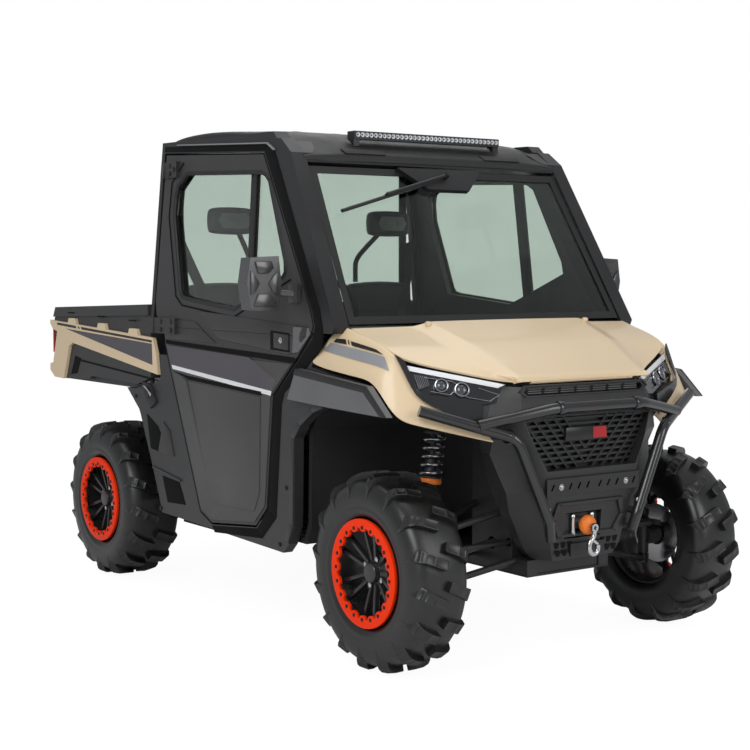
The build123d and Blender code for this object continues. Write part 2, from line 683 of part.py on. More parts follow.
bar_width = 8.0
bar_depth = 16.0
bar_pitch = 19.0
bar_rows = 9
slant_count = 8
slant_top_z = 862.0
slant_fall = 200.0
slant_pitch = 46.0
vent_cells = 7
vent_pitch = 74.0
vent_cell_half = 34.0
slant_lean = 0.9                 # sideways run of the slanted bars for each unit of height
grille_back_x = nose_x + 286 - grille_recess
with BuildPart() as grille:
    cross_slab(grille_line, grille_back_x, grille_back_x + 6)
    for row in range(bar_rows):
        up = grille_top_z - bar_pitch * (row + 0.5)
        block((grille_back_x + 4, grille_back_x + 6 + bar_depth), (-300, 300),
              (up - bar_width / 2, up + bar_width / 2))
    for side, _ in sides:
        for step in range(slant_count):
            top_y = side * (slant_pitch * (step + 0.5) + slant_fall * slant_lean / 2)
            low_y = side * (slant_pitch * (step + 0.5) - slant_fall * slant_lean / 2)
            if side * low_y < 0:
                share = side * top_y / (slant_fall * slant_lean)
                low_y = 0
            else:
                share = 1.0
            cross_slab([(top_y - bar_width / 2, slant_top_z), (top_y + bar_width / 2, slant_top_z),
                        (low_y + bar_width / 2, slant_top_z - slant_fall * share),
                        (low_y - bar_width / 2, slant_top_z - slant_fall * share)],
                       grille_back_x + 4, grille_back_x + 8 + bar_depth)
    cross_slab(grille_line, grille_back_x, grille_back_x + 60, mode=Mode.INTERSECT)
    for row in range(vent_cells):
        middle_y = (row - (vent_cells - 1) / 2) * vent_pitch
        block((nose_x + 241, nose_x + 252), (middle_y - vent_cell_half, middle_y + vent_cell_half),
              (930, 949))
grille.part.label = "grille"
export_step(grille.part, "parts/grille.step")

# ---------------------------------------------------------------- bumper, bash plate and winch
bumper_front_x = overall_length / 2 - bumper_tube / 2
with BuildPart() as front_bumper:
    for side, _ in sides:
        bent_tube(((nose_x + 158, side * 632, 889), (nose_x + 308, side * 340, 792),
                   (nose_x + 318, side * 205, 500), (nose_x + 308, side * 190, 440)), bumper_tube, 75)
    bent_tube(((nose_x + 256, -462, 838), (bumper_front_x, -205, 888),
               (bumper_front_x, 205, 888), (nose_x + 256, 462, 838)), bumper_tube, 150)
front_bumper.part.label = "front_bumper"
export_step(front_bumper.part, "parts/front_bumper.step")

plate_thickness = 7.0
plate_half_width = 214.0
plate_half_height = 29.0
plate_middle_z = 617.0
slot_length = 26.0
slot_width = 8.0
slot_slant = 60.0
plate_slots = (-188, -108, -68, -28, 28, 68, 108, 188)
with BuildPart() as bumper_skid:
    block((nose_x + 309, nose_x + 309 + plate_thickness), (-plate_half_width, plate_half_width),
          (plate_middle_z - plate_half_height, plate_middle_z + plate_half_height))
    with BuildSketch(Plane.YZ.offset(nose_x + 300)) as slots:
        for place in plate_slots:
            with Locations((place, plate_middle_z)):
                SlotOverall(slot_length, slot_width, rotation=slot_slant)
    extrude(slots.sketch, amount=30, mode=Mode.SUBTRACT)
    block((nose_x + 279, nose_x + 287), (-78, 78), (368, 412))
bumper_skid.part.label = "bumper_skid"
export_step(bumper_skid.part, "parts/bumper_skid.step")

winch_x = nose_x + 225.0
winch_z = 476.0
winch_half_height = 38.0
drum_radius = 32.0
roller_x = nose_x + 280.0
roller_y = 44.0
roller_radius = 9.0
rope_radius = 4.0
stopper_radius = 26.0
stopper_x = (nose_x + 294, nose_x + 318)
hook_wire = 14.0
hook_bend = 7.0
cheek_inner_y = 66.0
cheek_outer_y = 76.0
winch_span_z = (winch_z - winch_half_height - 2, winch_z + winch_half_height)
with BuildPart() as winch:
    rod((winch_x, winch_y - cheek_inner_y, winch_z), (winch_x, winch_y + cheek_inner_y, winch_z), drum_radius)
    for side, _ in sides:
        block((winch_x - 20, nose_x + 272), (winch_y + side * cheek_inner_y, winch_y + side * cheek_outer_y),
              winch_span_z)
        rod((roller_x, winch_y + side * roller_y, winch_z - winch_half_height),
            (roller_x, winch_y + side * roller_y, winch_z + winch_half_height - 2), roller_radius)
    block((nose_x + 264, nose_x + 272), (winch_y - cheek_outer_y, winch_y + cheek_outer_y), winch_span_z)
    block((nose_x + 263, nose_x + 273), (winch_y - 30, winch_y + 30), (winch_z - 24, winch_z + 24),
          mode=Mode.SUBTRACT)
    rod((winch_x + 10, winch_y, winch_z), (nose_x + 330, winch_y, winch_z), rope_radius)
    rod((stopper_x[0], winch_y, winch_z), (stopper_x[1], winch_y, winch_z), stopper_radius)
    bent_tube(((nose_x + 326, winch_y, winch_z), (nose_x + 340, winch_y, winch_z - 14),
               (nose_x + 341, winch_y, winch_z - 72), (nose_x + 328, winch_y, winch_z - 96),
               (nose_x + 316, winch_y, winch_z - 76)), hook_wire, hook_bend)
winch.part.label = "winch"
export_step(winch.part, "parts/winch.step")

# ---------------------------------------------------------------- doors
door_hinge_x = cab_x - 402.0
hinge_stand_off = 16.0           # hinge pins stand this far outside the body side
hinge_low_z = 1100.0
hinge_high_z = 1752.0
leaf_height = 64.0
low_leaf_length = 190.0
high_leaf_length = 112.0
mirror_arm_z = 1300.0
for side, name in sides:
    with BuildPart() as door_shell:
        side_slab(door_outline, side * 560, side * 780)
        side_slab(window_outline, side * 540, side * 800, mode=Mode.SUBTRACT)
        cross_slab(skin_band(side, 0, door_thickness), *body_reach, mode=Mode.INTERSECT)
        for up, leaf_length in ((hinge_low_z + 20, low_leaf_length), (hinge_high_z, high_leaf_length)):
            pin_y = side * (skin_y(up) + hinge_stand_off)
            leaf_y = side * (skin_y(up) - 6)
            lean = side * (skin_y(up - leaf_height / 2) - skin_y(up + leaf_height / 2)) / 2
            block((door_hinge_x + 18, door_hinge_x + leaf_length), (leaf_y, pin_y),
                  (up - leaf_height / 2, up + leaf_height / 2))
            block((door_hinge_x, door_hinge_x + 20), (pin_y - side * 7, pin_y),
                  (up - leaf_height / 2, up + leaf_height / 2))
            rod((door_hinge_x, pin_y + lean, up - leaf_height / 2),
                (door_hinge_x, pin_y - lean, up + leaf_height / 2), hinge_pin_radius + 2)
    door_shell.part.label = f"door_{name}_shell"
    export_step(door_shell.part, f"parts/door_{name}_shell.step")

    with BuildPart() as door_glass:
        side_slab(window_outline, side * 560, side * 780)
        cross_slab(skin_band(side, 16, 16 + glass_thickness), *body_reach, mode=Mode.INTERSECT)
    door_glass.part.label = f"door_{name}_glass"
    export_step(door_glass.part, f"parts/door_{name}_glass.step")

    with BuildPart() as door_mirror:
        cross_slab([(side * 768, 1202), (side * 757, 1300), (side * 768, 1396), (side * 884, 1390),
                    (side * 898, 1299), (side * 882, 1206)], cab_x + 585, cab_x + 650)
        bracket_y = skin_y(1232) + 0.5
        block((cab_x + 632, cab_x + 690), (side * bracket_y, side * (bracket_y + 16)), (1232, 1296))
        rod((cab_x + 622, side * 780, mirror_arm_z - 30), (cab_x + 660, side * (bracket_y + 8), 1262), 13)
    door_mirror.part.label = f"door_{name}_mirror"
    export_step(door_mirror.part, f"parts/door_{name}_mirror.step")

# ---------------------------------------------------------------- cargo bed
bed_side_line = at_datum(bed_x, (
    (-1441, 1060), (-1450, 1119), (-1414, bed_rail_z - bed_rail_fall))) + [
    (bed_front_x, bed_rail_z), (bed_front_x, 896)] + at_datum(bed_x, (
    (-602, 862), (-1056, 871), (-1071, 858), (-1324, 845), (-1440, 850)))
bed_hole_spacing_x = 640.0       # tie-down holes in the floor
bed_hole_spacing_y = 960.0
bed_hole_radius = 5.5
tailgate_hinge_x = bed_back_x - 4.0
tailgate_hinge_z = bed_floor_z + 12
with BuildPart() as bed_box:
    block((bed_back_x, bed_front_x), (bed_wall - bed_half_width, bed_half_width - bed_wall),
          (bed_floor_z, bed_floor_z + bed_floor_thickness))
    block((bed_front_x - bed_wall, bed_front_x), (-bed_half_width, bed_half_width),
          (896, bed_rail_z - 4))
    for side, _ in sides:
        side_slab(bed_side_line, side * (bed_half_width - bed_wall), side * bed_half_width)
        side_slab(at_datum(bed_x, ((-1414, bed_rail_z - bed_rail_fall), (-1440, bed_rail_z - 76))) + [
            (bed_front_x, bed_rail_z - 45), (bed_front_x, bed_rail_z)],
                  side * (bed_half_width - 46), side * (bed_half_width + bed_trim_thickness - 2))
        block((bed_pivot_x - 20, bed_front_x - 60),
              (side * (bed_pivot_half + 2), side * (bed_pivot_half + 32)),
              (bed_floor_z - 44, bed_floor_z))
        block((bed_pivot_x - 22, bed_pivot_x + 60),
              (side * (bed_pivot_half + 2), side * (bed_pivot_half + 20)),
              (bed_pivot_z - 22, bed_floor_z - 44))
    for side, _ in sides:
        rod((bed_pivot_x, side * (bed_pivot_half - 10), bed_pivot_z),
            (bed_pivot_x, side * (bed_pivot_half + 40), bed_pivot_z), bed_pivot_radius + 0.3,
            mode=Mode.SUBTRACT)
    with Locations(((bed_back_x + bed_front_x) / 2, 0, bed_floor_z + bed_floor_thickness / 2)):
        with GridLocations(bed_hole_spacing_x, bed_hole_spacing_y, 2, 2):
            Cylinder(bed_hole_radius, 2 * bed_floor_thickness, mode=Mode.SUBTRACT)
bed_box.part.label = "bed_box"
export_step(bed_box.part, "parts/bed_box.step")

tab_height = 30.0
tab_places = (-1227, -917, -610)  # middles of the tabs, ahead of the bed datum
tab_foot_half = 46.0
tab_top_half = 33.0
trim_rear = (-1469, 1112)
trim_front = (-425, 1066)


def trim_edge_z(along):
    """Height of the trim's straight upper edge."""
    share = (along - trim_rear[0]) / (trim_front[0] - trim_rear[0])
    return trim_rear[1] + share * (trim_front[1] - trim_rear[1])


trim_top = [trim_rear]
for middle in tab_places:
    top_z = trim_edge_z(middle) + tab_height - 6
    trim_top += [(middle - tab_foot_half, trim_edge_z(middle - tab_foot_half)),
                 (middle - tab_top_half, top_z), (middle + tab_top_half, top_z),
                 (middle + tab_foot_half, trim_edge_z(middle + tab_foot_half))]
trim_line = at_datum(bed_x, trim_top + [trim_front, (-398, 1000)]) + at_datum(bed_x, (
    (-386, 915), (-1221, 1014), (-1261, 996), (-1324, 845), (-1424, 847), (-1475, 877),
    (-1474, 908), (-1441, 914), (-1403, 1025), (-1391, 1060), (-1441, 1072), (-1469, 1095)))
with BuildPart() as bed_trims:
    for side, _ in sides:
        side_slab(trim_line, side * bed_half_width, side * (bed_half_width + bed_trim_thickness))
bed_trims.part.label = "bed_trims"
export_step(bed_trims.part, "parts/bed_trims.step")

tailgate_half_width = bed_half_width - bed_wall - 8
with BuildPart() as tailgate:
    block((bed_back_x - tailgate_thickness, bed_back_x - 5), (-tailgate_half_width, tailgate_half_width),
          (tailgate_hinge_z + 18, bed_rail_z - bed_rail_fall - 30))
    for side, _ in sides:
        rod((tailgate_hinge_x - 8, side * (tailgate_half_width - 60), tailgate_hinge_z),
            (tailgate_hinge_x - 8, side * (tailgate_half_width - 160), tailgate_hinge_z), 9)
        block((tailgate_hinge_x - 17, tailgate_hinge_x - 1),
              (side * (tailgate_half_width - 60), side * (tailgate_half_width - 160)),
              (tailgate_hinge_z, tailgate_hinge_z + 22))
tailgate.part.label = "tailgate"
export_step(tailgate.part, "parts/tailgate.step")

lamp_thickness = 12.0
tail_lamp_z = (960, 1100)
with BuildPart() as tail_lamps:
    for side, _ in sides:
        block((bed_back_x - lamp_thickness, bed_back_x),
              (side * (bed_half_width - 2), side * (bed_half_width - bed_wall + 2)), tail_lamp_z)
tail_lamps.part.label = "tail_lamps"
export_step(tail_lamps.part, "parts/tail_lamps.step")

# ---------------------------------------------------------------- suspension
eye_radius = 21.0
pin_radius = 10.0
pin_clearance = 0.4
low_eye_z = (236.0, 266.0)
high_eye_z = (414.0, 440.0)
arm_table = (  # pivot spread along x, pivot y, pivot z, eye z span
    (118, rail_half_gauge, 340.0, low_eye_z),
    (92, rail_half_gauge, 520.0, high_eye_z),
)
with BuildPart() as suspension_arms:
    for axle_x, _ in axles:
        for side, _ in sides:
            for spread, pivot_y, pivot_z, (eye_low, eye_high) in arm_table:
                eye_z = (eye_low + eye_high) / 2
                for way in (-1, 1):
                    rod((axle_x + way * spread, side * (pivot_y - 6), pivot_z),
                        (axle_x + way * 8, side * (kingpin_y - 12), eye_z), arm_tube / 2 - 4)
                rod((axle_x, side * kingpin_y, eye_low), (axle_x, side * kingpin_y, eye_high), eye_radius)
                rod((axle_x, side * kingpin_y, eye_low - 20), (axle_x, side * kingpin_y, eye_high + 20),
                    pin_radius + pin_clearance, mode=Mode.SUBTRACT)
    add(main_frame.part, mode=Mode.SUBTRACT)
suspension_arms.part.label = "suspension_arms"
export_step(suspension_arms.part, "parts/suspension_arms.step")

shock_coils = 9
shock_offset = 92.0              # behind the front axle and ahead of the rear one
spring_radius = 34.0
with BuildPart() as shocks:
    for axle_x, along, head_z in ((front_axle_x, -shock_offset, tower_top_z - 22),
                                  (rear_axle_x, shock_offset, rear_tower_top_z - 22)):
        for side, _ in sides:
            foot = Vector(axle_x + along, side * 436, 322)
            head = Vector(axle_x + along, side * 372, head_z)
            run = head - foot
            rod(foot, head, 13)
            for coil in range(shock_coils):
                middle = foot + run * (0.30 + 0.62 * coil / (shock_coils - 1))
                half = run.normalized() * 7
                rod(middle - half, middle + half, spring_radius)
            rod((head.X, head.Y, head_z - 14), (head.X, side * (rail_half_gauge - 4), head_z - 14), 12)
            rod((foot.X, foot.Y, foot.Z), (axle_x + along * 0.4, foot.Y, 286), 10)
    add(main_frame.part, mode=Mode.SUBTRACT)
    add(suspension_arms.part, mode=Mode.SUBTRACT)
shocks.part.label = "shocks"
export_step(shocks.part, "parts/shocks.step")

with BuildPart() as axle_drives:
    for axle_x, _ in axles:
        block((axle_x - 70, axle_x + 70), (-110, 110), (rail_top_z + 4, rail_top_z + 130))
        for side, _ in sides:
            rod((axle_x, side * 100, shaft_inner_z), (axle_x, side * shaft_end_y, shaft_outer_z),
                shaft_radius)
axle_drives.part.label = "axle_drives"
export_step(axle_drives.part, "parts/axle_drives.step")

# ---------------------------------------------------------------- knuckles
column_radius = 20.0
hub_outer_y = 622.0
hub_radius = 38.0
stub_end_y = 700.0
stub_radius = 22.0
tie_y = 532.0
for axle_x, axle_name in axles:
    for side, name in sides:
        with BuildPart() as knuckle:
            rod((axle_x, side * kingpin_y, low_eye_z[1] + 5), (axle_x, side * kingpin_y, high_eye_z[0] - 5),
                column_radius)
            rod((axle_x, side * kingpin_y, low_eye_z[0] - 4), (axle_x, side * kingpin_y, high_eye_z[1] + 4),
                pin_radius)
            rod((axle_x, side * kingpin_y, axle_z), (axle_x, side * hub_outer_y, axle_z), hub_radius)
            rod((axle_x, side * hub_outer_y, axle_z), (axle_x, side * stub_end_y, axle_z), stub_radius)
            if axle_name == "front":
                block((axle_x, rack_x + 12), (side * (tie_y - 10), side * (tie_y + 14)),
                      (rack_z - 8, rack_z + 8))
                block((axle_x, axle_x + 26), (side * (tie_y - 10), side * kingpin_y),
                      (rack_z - 8, rack_z + 8))
        knuckle.part.label = f"knuckle_{axle_name}_{name}"
        export_step(knuckle.part, f"parts/knuckle_{axle_name}_{name}.step")

# ---------------------------------------------------------------- wheels
tyre_facets = 32
lug_count = 16                   # on each side of the tread
lug_width = 36.0
lug_slant = 24.0                 # degrees off the tyre's axle
carcass_table = (  # share of half width, depth below the lug tips
    (-0.78, 152), (-0.96, 118), (-0.97, 70), (-0.82, 36), (-0.45, 24), (0.45, 24), (0.82, 36),
    (0.97, 70), (0.96, 118), (0.78, 152),
)
lug_table = (  # share of half width, depth below the lug tips: one lug's outline, from the middle out
    (0.03, 0), (0.55, 2), (0.84, 14), (1.0, 42), (1.0, 88), (0.90, 92), (0.80, 46), (0.03, 34),
)
rim_wall = 9.0
bead_radius = tyre_radius - 154
hub_bore = stub_radius + 0.4


def facet_outline(radius):
    """A regular polygon whose corners lie on a circle."""
    turn = 2 * pi / tyre_facets
    return [(radius * cos(turn * step), radius * sin(turn * step)) for step in range(tyre_facets)]


wheel_middle = Plane(origin=(0, 0, 0), x_dir=(1, 0, 0), z_dir=(0, 1, 0))
lug_reach = sqrt(tyre_radius ** 2 - (lug_width / 2) ** 2)
for axle_x, axle_name, tyre_width in ((front_axle_x, "front", front_tyre_width),
                                      (rear_axle_x, "rear", rear_tyre_width)):
    half = tyre_width / 2
    with BuildPart() as tread:
        section_loft([(share * half, facet_outline(tyre_radius - depth))
                      for share, depth in carcass_table], plane=wheel_middle)
        with BuildSketch(wheel_middle.offset(-half - 5)) as bore:
            with BuildLine():
                Polyline(*facet_outline(bead_radius / cos(pi / tyre_facets)), close=True)
            make_face()
        extrude(bore.sketch, amount=tyre_width + 20, mode=Mode.SUBTRACT)
        for tread_side in (-1, 1):
            for number in range(lug_count):
                turn = 2 * pi * (number + (0.5 if tread_side > 0 else 0)) / lug_count + pi / 2
                radial = wheel_middle.x_dir * cos(turn) + wheel_middle.y_dir * sin(turn)
                axial = wheel_middle.z_dir * tread_side
                lug_plane = Plane(origin=(0, 0, 0), x_dir=axial, z_dir=axial.cross(radial))
                lug_plane = lug_plane.rotated((0, lug_slant, 0))
                with BuildSketch(lug_plane.offset(-lug_width / 2)) as lug:
                    with BuildLine():
                        Polyline(*((share * half, lug_reach - depth) for share, depth in lug_table),
                                 close=True)
                    make_face()
                extrude(lug.sketch, amount=lug_width)
    mirrored_tread = mirror(tread.part, about=Plane.XZ)
    for side, name in sides:
        outer_y = ring_face_y - 4
        middle_y = outer_y - tyre_width / 2 + 4
        wheel_plane = Plane(origin=(axle_x, side * middle_y, axle_z), x_dir=(1, 0, 0), z_dir=(0, side, 0))
        with BuildPart() as tyre:
            handed_tread = tread.part if side > 0 else mirrored_tread
            add(handed_tread.moved(Location((axle_x, side * middle_y, axle_z))))
        tyre.part.label = f"tyre_{axle_name}_{name}"
        export_step(tyre.part, f"parts/tyre_{axle_name}_{name}.step")

        with BuildPart() as rim:
            barrel_start = -tyre_width / 2 + 30
            barrel_end = ring_face_y - middle_y - 14
            with BuildSketch(wheel_plane.offset(barrel_start)) as ring:
                Circle(bead_radius)
                Circle(bead_radius - rim_wall, mode=Mode.SUBTRACT)
            extrude(ring.sketch, amount=barrel_end - barrel_start)
            with BuildSketch(wheel_plane.offset(barrel_end)) as ring:
                Circle(rim_radius)
                Circle(rim_radius - 34, mode=Mode.SUBTRACT)
            extrude(ring.sketch, amount=14)
            with BuildSketch(wheel_plane.offset(barrel_end - 60)) as face:
                Circle(52)
                with PolarLocations(0, 6):
                    with Locations((92, 0)):
                        Rectangle(184 - 12, 26)
                Circle(hub_bore, mode=Mode.SUBTRACT)
            extrude(face.sketch, amount=22)
        rim.part.label = f"rim_{axle_name}_{name}"
        export_step(rim.part, f"parts/rim_{axle_name}_{name}.step")

# ---------------------------------------------------------------- steering
wheel_y = -400.0
column_foot = Vector(cab_x + 640, wheel_y, 1010)
column_head = Vector(cab_x + 330, wheel_y, 1135)
column_axis = (column_head - column_foot).normalized()
steering_ring = 178.0
with BuildPart() as steering_wheel:
    wheel_face = Plane(origin=column_head, x_dir=(0, 1, 0), z_dir=column_axis)
    with BuildSketch(Plane(origin=column_head + wheel_face.x_dir * steering_ring, x_dir=wheel_face.x_dir,
                           z_dir=wheel_face.y_dir)) as grip:
        Circle(13)
    revolve(grip.sketch, axis=Axis(column_head, column_axis), revolution_arc=360)
    rod(column_head - column_axis * 26, column_head + column_axis * 12, 42)
    with BuildSketch(wheel_face.offset(-8)) as spokes:
        with PolarLocations(0, 3, start_angle=-90):
            with Locations((steering_ring / 2, 0)):
                Rectangle(steering_ring - 4, 26)
    extrude(spokes.sketch, amount=12)
steering_wheel.part.label = "steering_wheel"
export_step(steering_wheel.part, "parts/steering_wheel.step")

with BuildPart() as steering_column:
    rod(column_foot, column_head - column_axis * 32, 26)
    side_slab(dash_line, -dash_half_width, dash_half_width, mode=Mode.SUBTRACT)
steering_column.part.label = "steering_column"
export_step(steering_column.part, "parts/steering_column.step")

with BuildPart() as steering_rack:
    rod((rack_x, -tie_y + 30, rack_z), (rack_x, tie_y - 30, rack_z), rack_radius)
steering_rack.part.label = "steering_rack"
export_step(steering_rack.part, "parts/steering_rack.step")
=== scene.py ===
"""A closed-cab side by side utility vehicle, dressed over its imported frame.

The sections follow the vehicle as it is put together: studio, frame, running gear, wheels,
cab, seats, glass, body sides, nose, bumper, winch, doors and cargo bed. Lengths are in metres.
"""

from math import cos, pi, radians, sin

import bmesh
import bpy
from mathutils import Matrix, Vector


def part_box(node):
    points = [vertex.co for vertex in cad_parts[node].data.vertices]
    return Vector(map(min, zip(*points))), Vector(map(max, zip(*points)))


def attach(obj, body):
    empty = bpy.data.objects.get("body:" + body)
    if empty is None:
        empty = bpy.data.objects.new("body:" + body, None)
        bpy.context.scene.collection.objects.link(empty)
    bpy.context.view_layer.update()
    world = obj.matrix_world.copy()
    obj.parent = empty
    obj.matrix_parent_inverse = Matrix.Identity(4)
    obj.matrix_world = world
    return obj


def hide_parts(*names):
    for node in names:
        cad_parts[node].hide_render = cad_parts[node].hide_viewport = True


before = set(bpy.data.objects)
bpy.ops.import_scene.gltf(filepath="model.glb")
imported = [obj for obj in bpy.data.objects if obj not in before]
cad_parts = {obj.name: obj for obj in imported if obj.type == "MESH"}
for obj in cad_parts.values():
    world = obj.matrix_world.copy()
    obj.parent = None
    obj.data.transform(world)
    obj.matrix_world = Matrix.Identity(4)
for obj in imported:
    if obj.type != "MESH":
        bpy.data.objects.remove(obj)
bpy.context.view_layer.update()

# ---------------------------------------------------------------- studio
# A white sweep floor, a pale surround and four large soft boxes. The camera stands off
# the right front corner at head height, with a short telephoto lens.
bpy.context.scene.view_settings.view_transform = "Standard"


def made_by(add, **settings):
    """What one of Blender's add operators makes, alone in the selection."""
    bpy.ops.object.select_all(action="DESELECT")
    add(**settings)
    return bpy.context.object


def fill(made, **values):
    """Set a shader node's inputs by name, with underscores for spaces."""
    for name, value in values.items():
        made.inputs[name.replace("_", " ")].default_value = value
    return made


def node(tree, kind, **values):
    """A new shader node with its inputs set."""
    return fill(tree.nodes.new("ShaderNode" + kind), **values)


def wire(tree, *pairs):
    """Join each output to the input beside it."""
    for source, target in pairs:
        tree.links.new(source, target)


def sums(tree, operation, *given):
    """The output of a maths node, whose inputs are numbers or other nodes' outputs."""
    made = node(tree, "Math")
    made.operation = operation
    for place, value in zip(made.inputs, given):
        if isinstance(value, float):
            place.default_value = value
        else:
            wire(tree, (value, place))
    return made.outputs[0]


def bare_material(name):
    """A new material, its shader tree and its main shader."""
    made = bpy.data.materials.new(name)
    made.use_nodes = True
    return made, made.node_tree, made.node_tree.nodes["Principled BSDF"]


def lit_or_seen(tree, lit, seen, share, output):
    """Cast light by one shader and show the camera another, straight on or through glass."""
    ray = node(tree, "LightPath")
    looked_at = sums(tree, "MAXIMUM", ray.outputs["Is Camera Ray"], ray.outputs["Is Transmission Ray"])
    mix = node(tree, "MixShader")
    wire(tree, (sums(tree, "MULTIPLY", looked_at, share), mix.inputs[0]),
         (lit.outputs[0], mix.inputs[1]), (seen.outputs[0], mix.inputs[2]),
         (mix.outputs[0], tree.nodes[output].inputs["Surface"]))


white = (1, 1, 1, 1)
floor = made_by(bpy.ops.mesh.primitive_plane_add, size=60, location=(0, 0, -0.001))
floor.name = "studio_floor"
bpy.ops.object.transform_apply()
floor_paper, paper_tree, paper_shader = bare_material("floor_paper")
fill(paper_shader, Base_Color=(0.86, 0.86, 0.86, 1), Roughness=0.9)
paper_glow = node(paper_tree, "Emission", Color=white, Strength=1.13)
lit_or_seen(paper_tree, paper_shader, paper_glow, 0.84, "Material Output")
floor.data.materials.append(floor_paper)

surround = bpy.data.worlds.new("studio_surround")
bpy.context.scene.world = surround
surround.use_nodes = True
surround_tree = surround.node_tree
surround_light = fill(surround_tree.nodes["Background"], Color=(0.95, 0.97, 1.0, 1), Strength=0.40)
surround_paper = node(surround_tree, "Background", Color=white, Strength=1.0)
lit_or_seen(surround_tree, surround_light, surround_paper, 1.0, "World Output")

for name, place, aim, size, power in (
    ("softbox_key", (3.2, -4.6, 3.6), (0.3, -0.4, 0.8), 3.2, 134),
    ("softbox_front", (5.6, 1.2, 2.6), (0.8, 0.0, 0.7), 2.6, 62),
    ("softbox_top", (-0.4, 0.4, 4.8), (0.0, 0.0, 1.0), 4.2, 60),
    ("softbox_rear", (-4.4, 3.4, 2.8), (-0.6, 0.2, 0.9), 2.8, 50),
):
    softbox = made_by(bpy.ops.object.light_add, type="AREA", location=place)
    softbox.name = name
    softbox.data.size = size
    softbox.data.energy = power
    softbox.visible_transmission = False
    softbox.rotation_euler = (Vector(aim) - Vector(place)).to_track_quat("-Z", "Y").to_euler()

camera = made_by(bpy.ops.object.camera_add, location=(5.260, -3.6244, 1.3556))
camera.name = "studio_camera"
camera.data.sensor_width = 36
camera.data.lens = 73.47
view_yaw = radians(144.63)
view_pitch = -0.0700955
view_line = Vector((cos(view_yaw) * cos(view_pitch), sin(view_yaw) * cos(view_pitch), sin(view_pitch)))
camera.rotation_euler = view_line.to_track_quat("-Z", "Y").to_euler()
bpy.context.scene.camera = camera

# ---------------------------------------------------------------- main frame
# Welded square steel rails, towers and cross members, powder coated near-black. A moulded
# skid closes the underside, held by rows of flanged bolts.


def ramp(tree, low, high, start=0.0, end=1.0):
    """A colour ramp from one tone to another."""
    made = node(tree, "ValToRGB")
    for number, place, tone in ((0, start, low), (1, end, high)):
        made.color_ramp.elements[number].position = place
        made.color_ramp.elements[number].color = (*tone, 1)
    return made


def finish(name, colour, rough, grain, relief, metallic=0.0, drift=0.12, coat=0.0,
           stretch=(1, 1, 1), glint=0.5, spread_rough=0.06):
    """A finish whose tone drifts over the part and whose surface has a fine grain."""
    made, tree, shader = bare_material(name)
    fill(shader, Metallic=metallic, Coat_Weight=coat, Coat_Roughness=0.08, Specular_IOR_Level=glint)
    spread = node(tree, "Mapping", Scale=stretch)
    broad = node(tree, "TexNoise", Scale=5.0, Detail=6.0)
    fine = node(tree, "TexNoise", Scale=grain, Detail=3.0)
    tones = ramp(tree, [tone * (1 - drift) for tone in colour],
                 [min(tone * (1 + drift), 1) for tone in colour], 0.32, 0.68)
    sheen = node(tree, "MapRange", From_Min=0.35, From_Max=0.65, To_Min=rough - spread_rough,
                 To_Max=rough + spread_rough)
    bump = node(tree, "Bump", Strength=relief, Distance=0.001)
    wire(tree, (node(tree, "TexCoord").outputs["Object"], spread.inputs["Vector"]),
         (spread.outputs[0], broad.inputs["Vector"]), (spread.outputs[0], fine.inputs["Vector"]),
         (broad.outputs["Fac"], tones.inputs["Fac"]), (tones.outputs["Color"], shader.inputs["Base Color"]),
         (broad.outputs["Fac"], sheen.inputs["Value"]), (sheen.outputs[0], shader.inputs["Roughness"]),
         (fine.outputs["Fac"], bump.inputs["Height"]), (bump.outputs[0], shader.inputs["Normal"]))
    return made


def dress(material, *nodes):
    """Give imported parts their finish."""
    for name in nodes:
        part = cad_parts[name]
        part.data.materials.clear()
        part.data.materials.append(material)


def choose(*pieces):
    """Select these pieces alone, with the first of them active."""
    bpy.ops.object.select_all(action="DESELECT")
    for piece in pieces:
        piece.select_set(True)
    bpy.context.view_layer.objects.active = pieces[0]


def joined(pieces):
    """Several pieces as one mesh."""
    choose(*pieces)
    if len(pieces) > 1:
        bpy.ops.object.join()
    return bpy.context.view_layer.objects.active


def worked(piece, kind, **settings):
    """Put one modifier on the active piece and apply it at once."""
    step = piece.modifiers.new("step", kind)
    for name, value in settings.items():
        setattr(step, name, value)
    bpy.ops.object.modifier_apply(modifier="step")


def settle(pieces, name, material, body, bevel=0.0, smooth=35):
    """Join a piece, name it, soften its edges, place it for good and fix it to its body."""
    piece = joined(pieces) if isinstance(pieces, list) else pieces
    choose(piece)
    piece.name = name
    piece.data.name = name
    bpy.ops.object.transform_apply()
    if bevel:
        worked(piece, "BEVEL", width=bevel, segments=2, limit_method="ANGLE", angle_limit=radians(28))
    bpy.ops.object.shade_smooth_by_angle(angle=radians(smooth))
    piece.data.materials.clear()
    piece.data.materials.append(material)
    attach(piece, body)
    return piece


def rod(radius, length, middle, turn=(0, 0, 0), sides=20):
    """A plain round bar about its middle, up the Z axis before its turn."""
    return made_by(bpy.ops.mesh.primitive_cylinder_add, vertices=sides, radius=radius, depth=length,
                   location=middle, rotation=turn)


def sunk(piece, wanted, *insets):
    """Inset the faces that wanted says yes to, once for each pair of thickness and depth."""
    bpy.ops.object.mode_set(mode="EDIT")
    bpy.ops.mesh.select_all(action="DESELECT")
    mesh = bmesh.from_edit_mesh(piece.data)
    for face in mesh.faces:
        face.select = wanted(face)
    bmesh.update_edit_mesh(piece.data)
    for thickness, depth in insets:
        bpy.ops.mesh.inset(thickness=thickness, depth=depth, use_individual=True)
    bpy.ops.object.mode_set(mode="OBJECT")


def is_top(face):
    """Whether a face looks up the Z axis."""
    return face.normal.z > 0.9


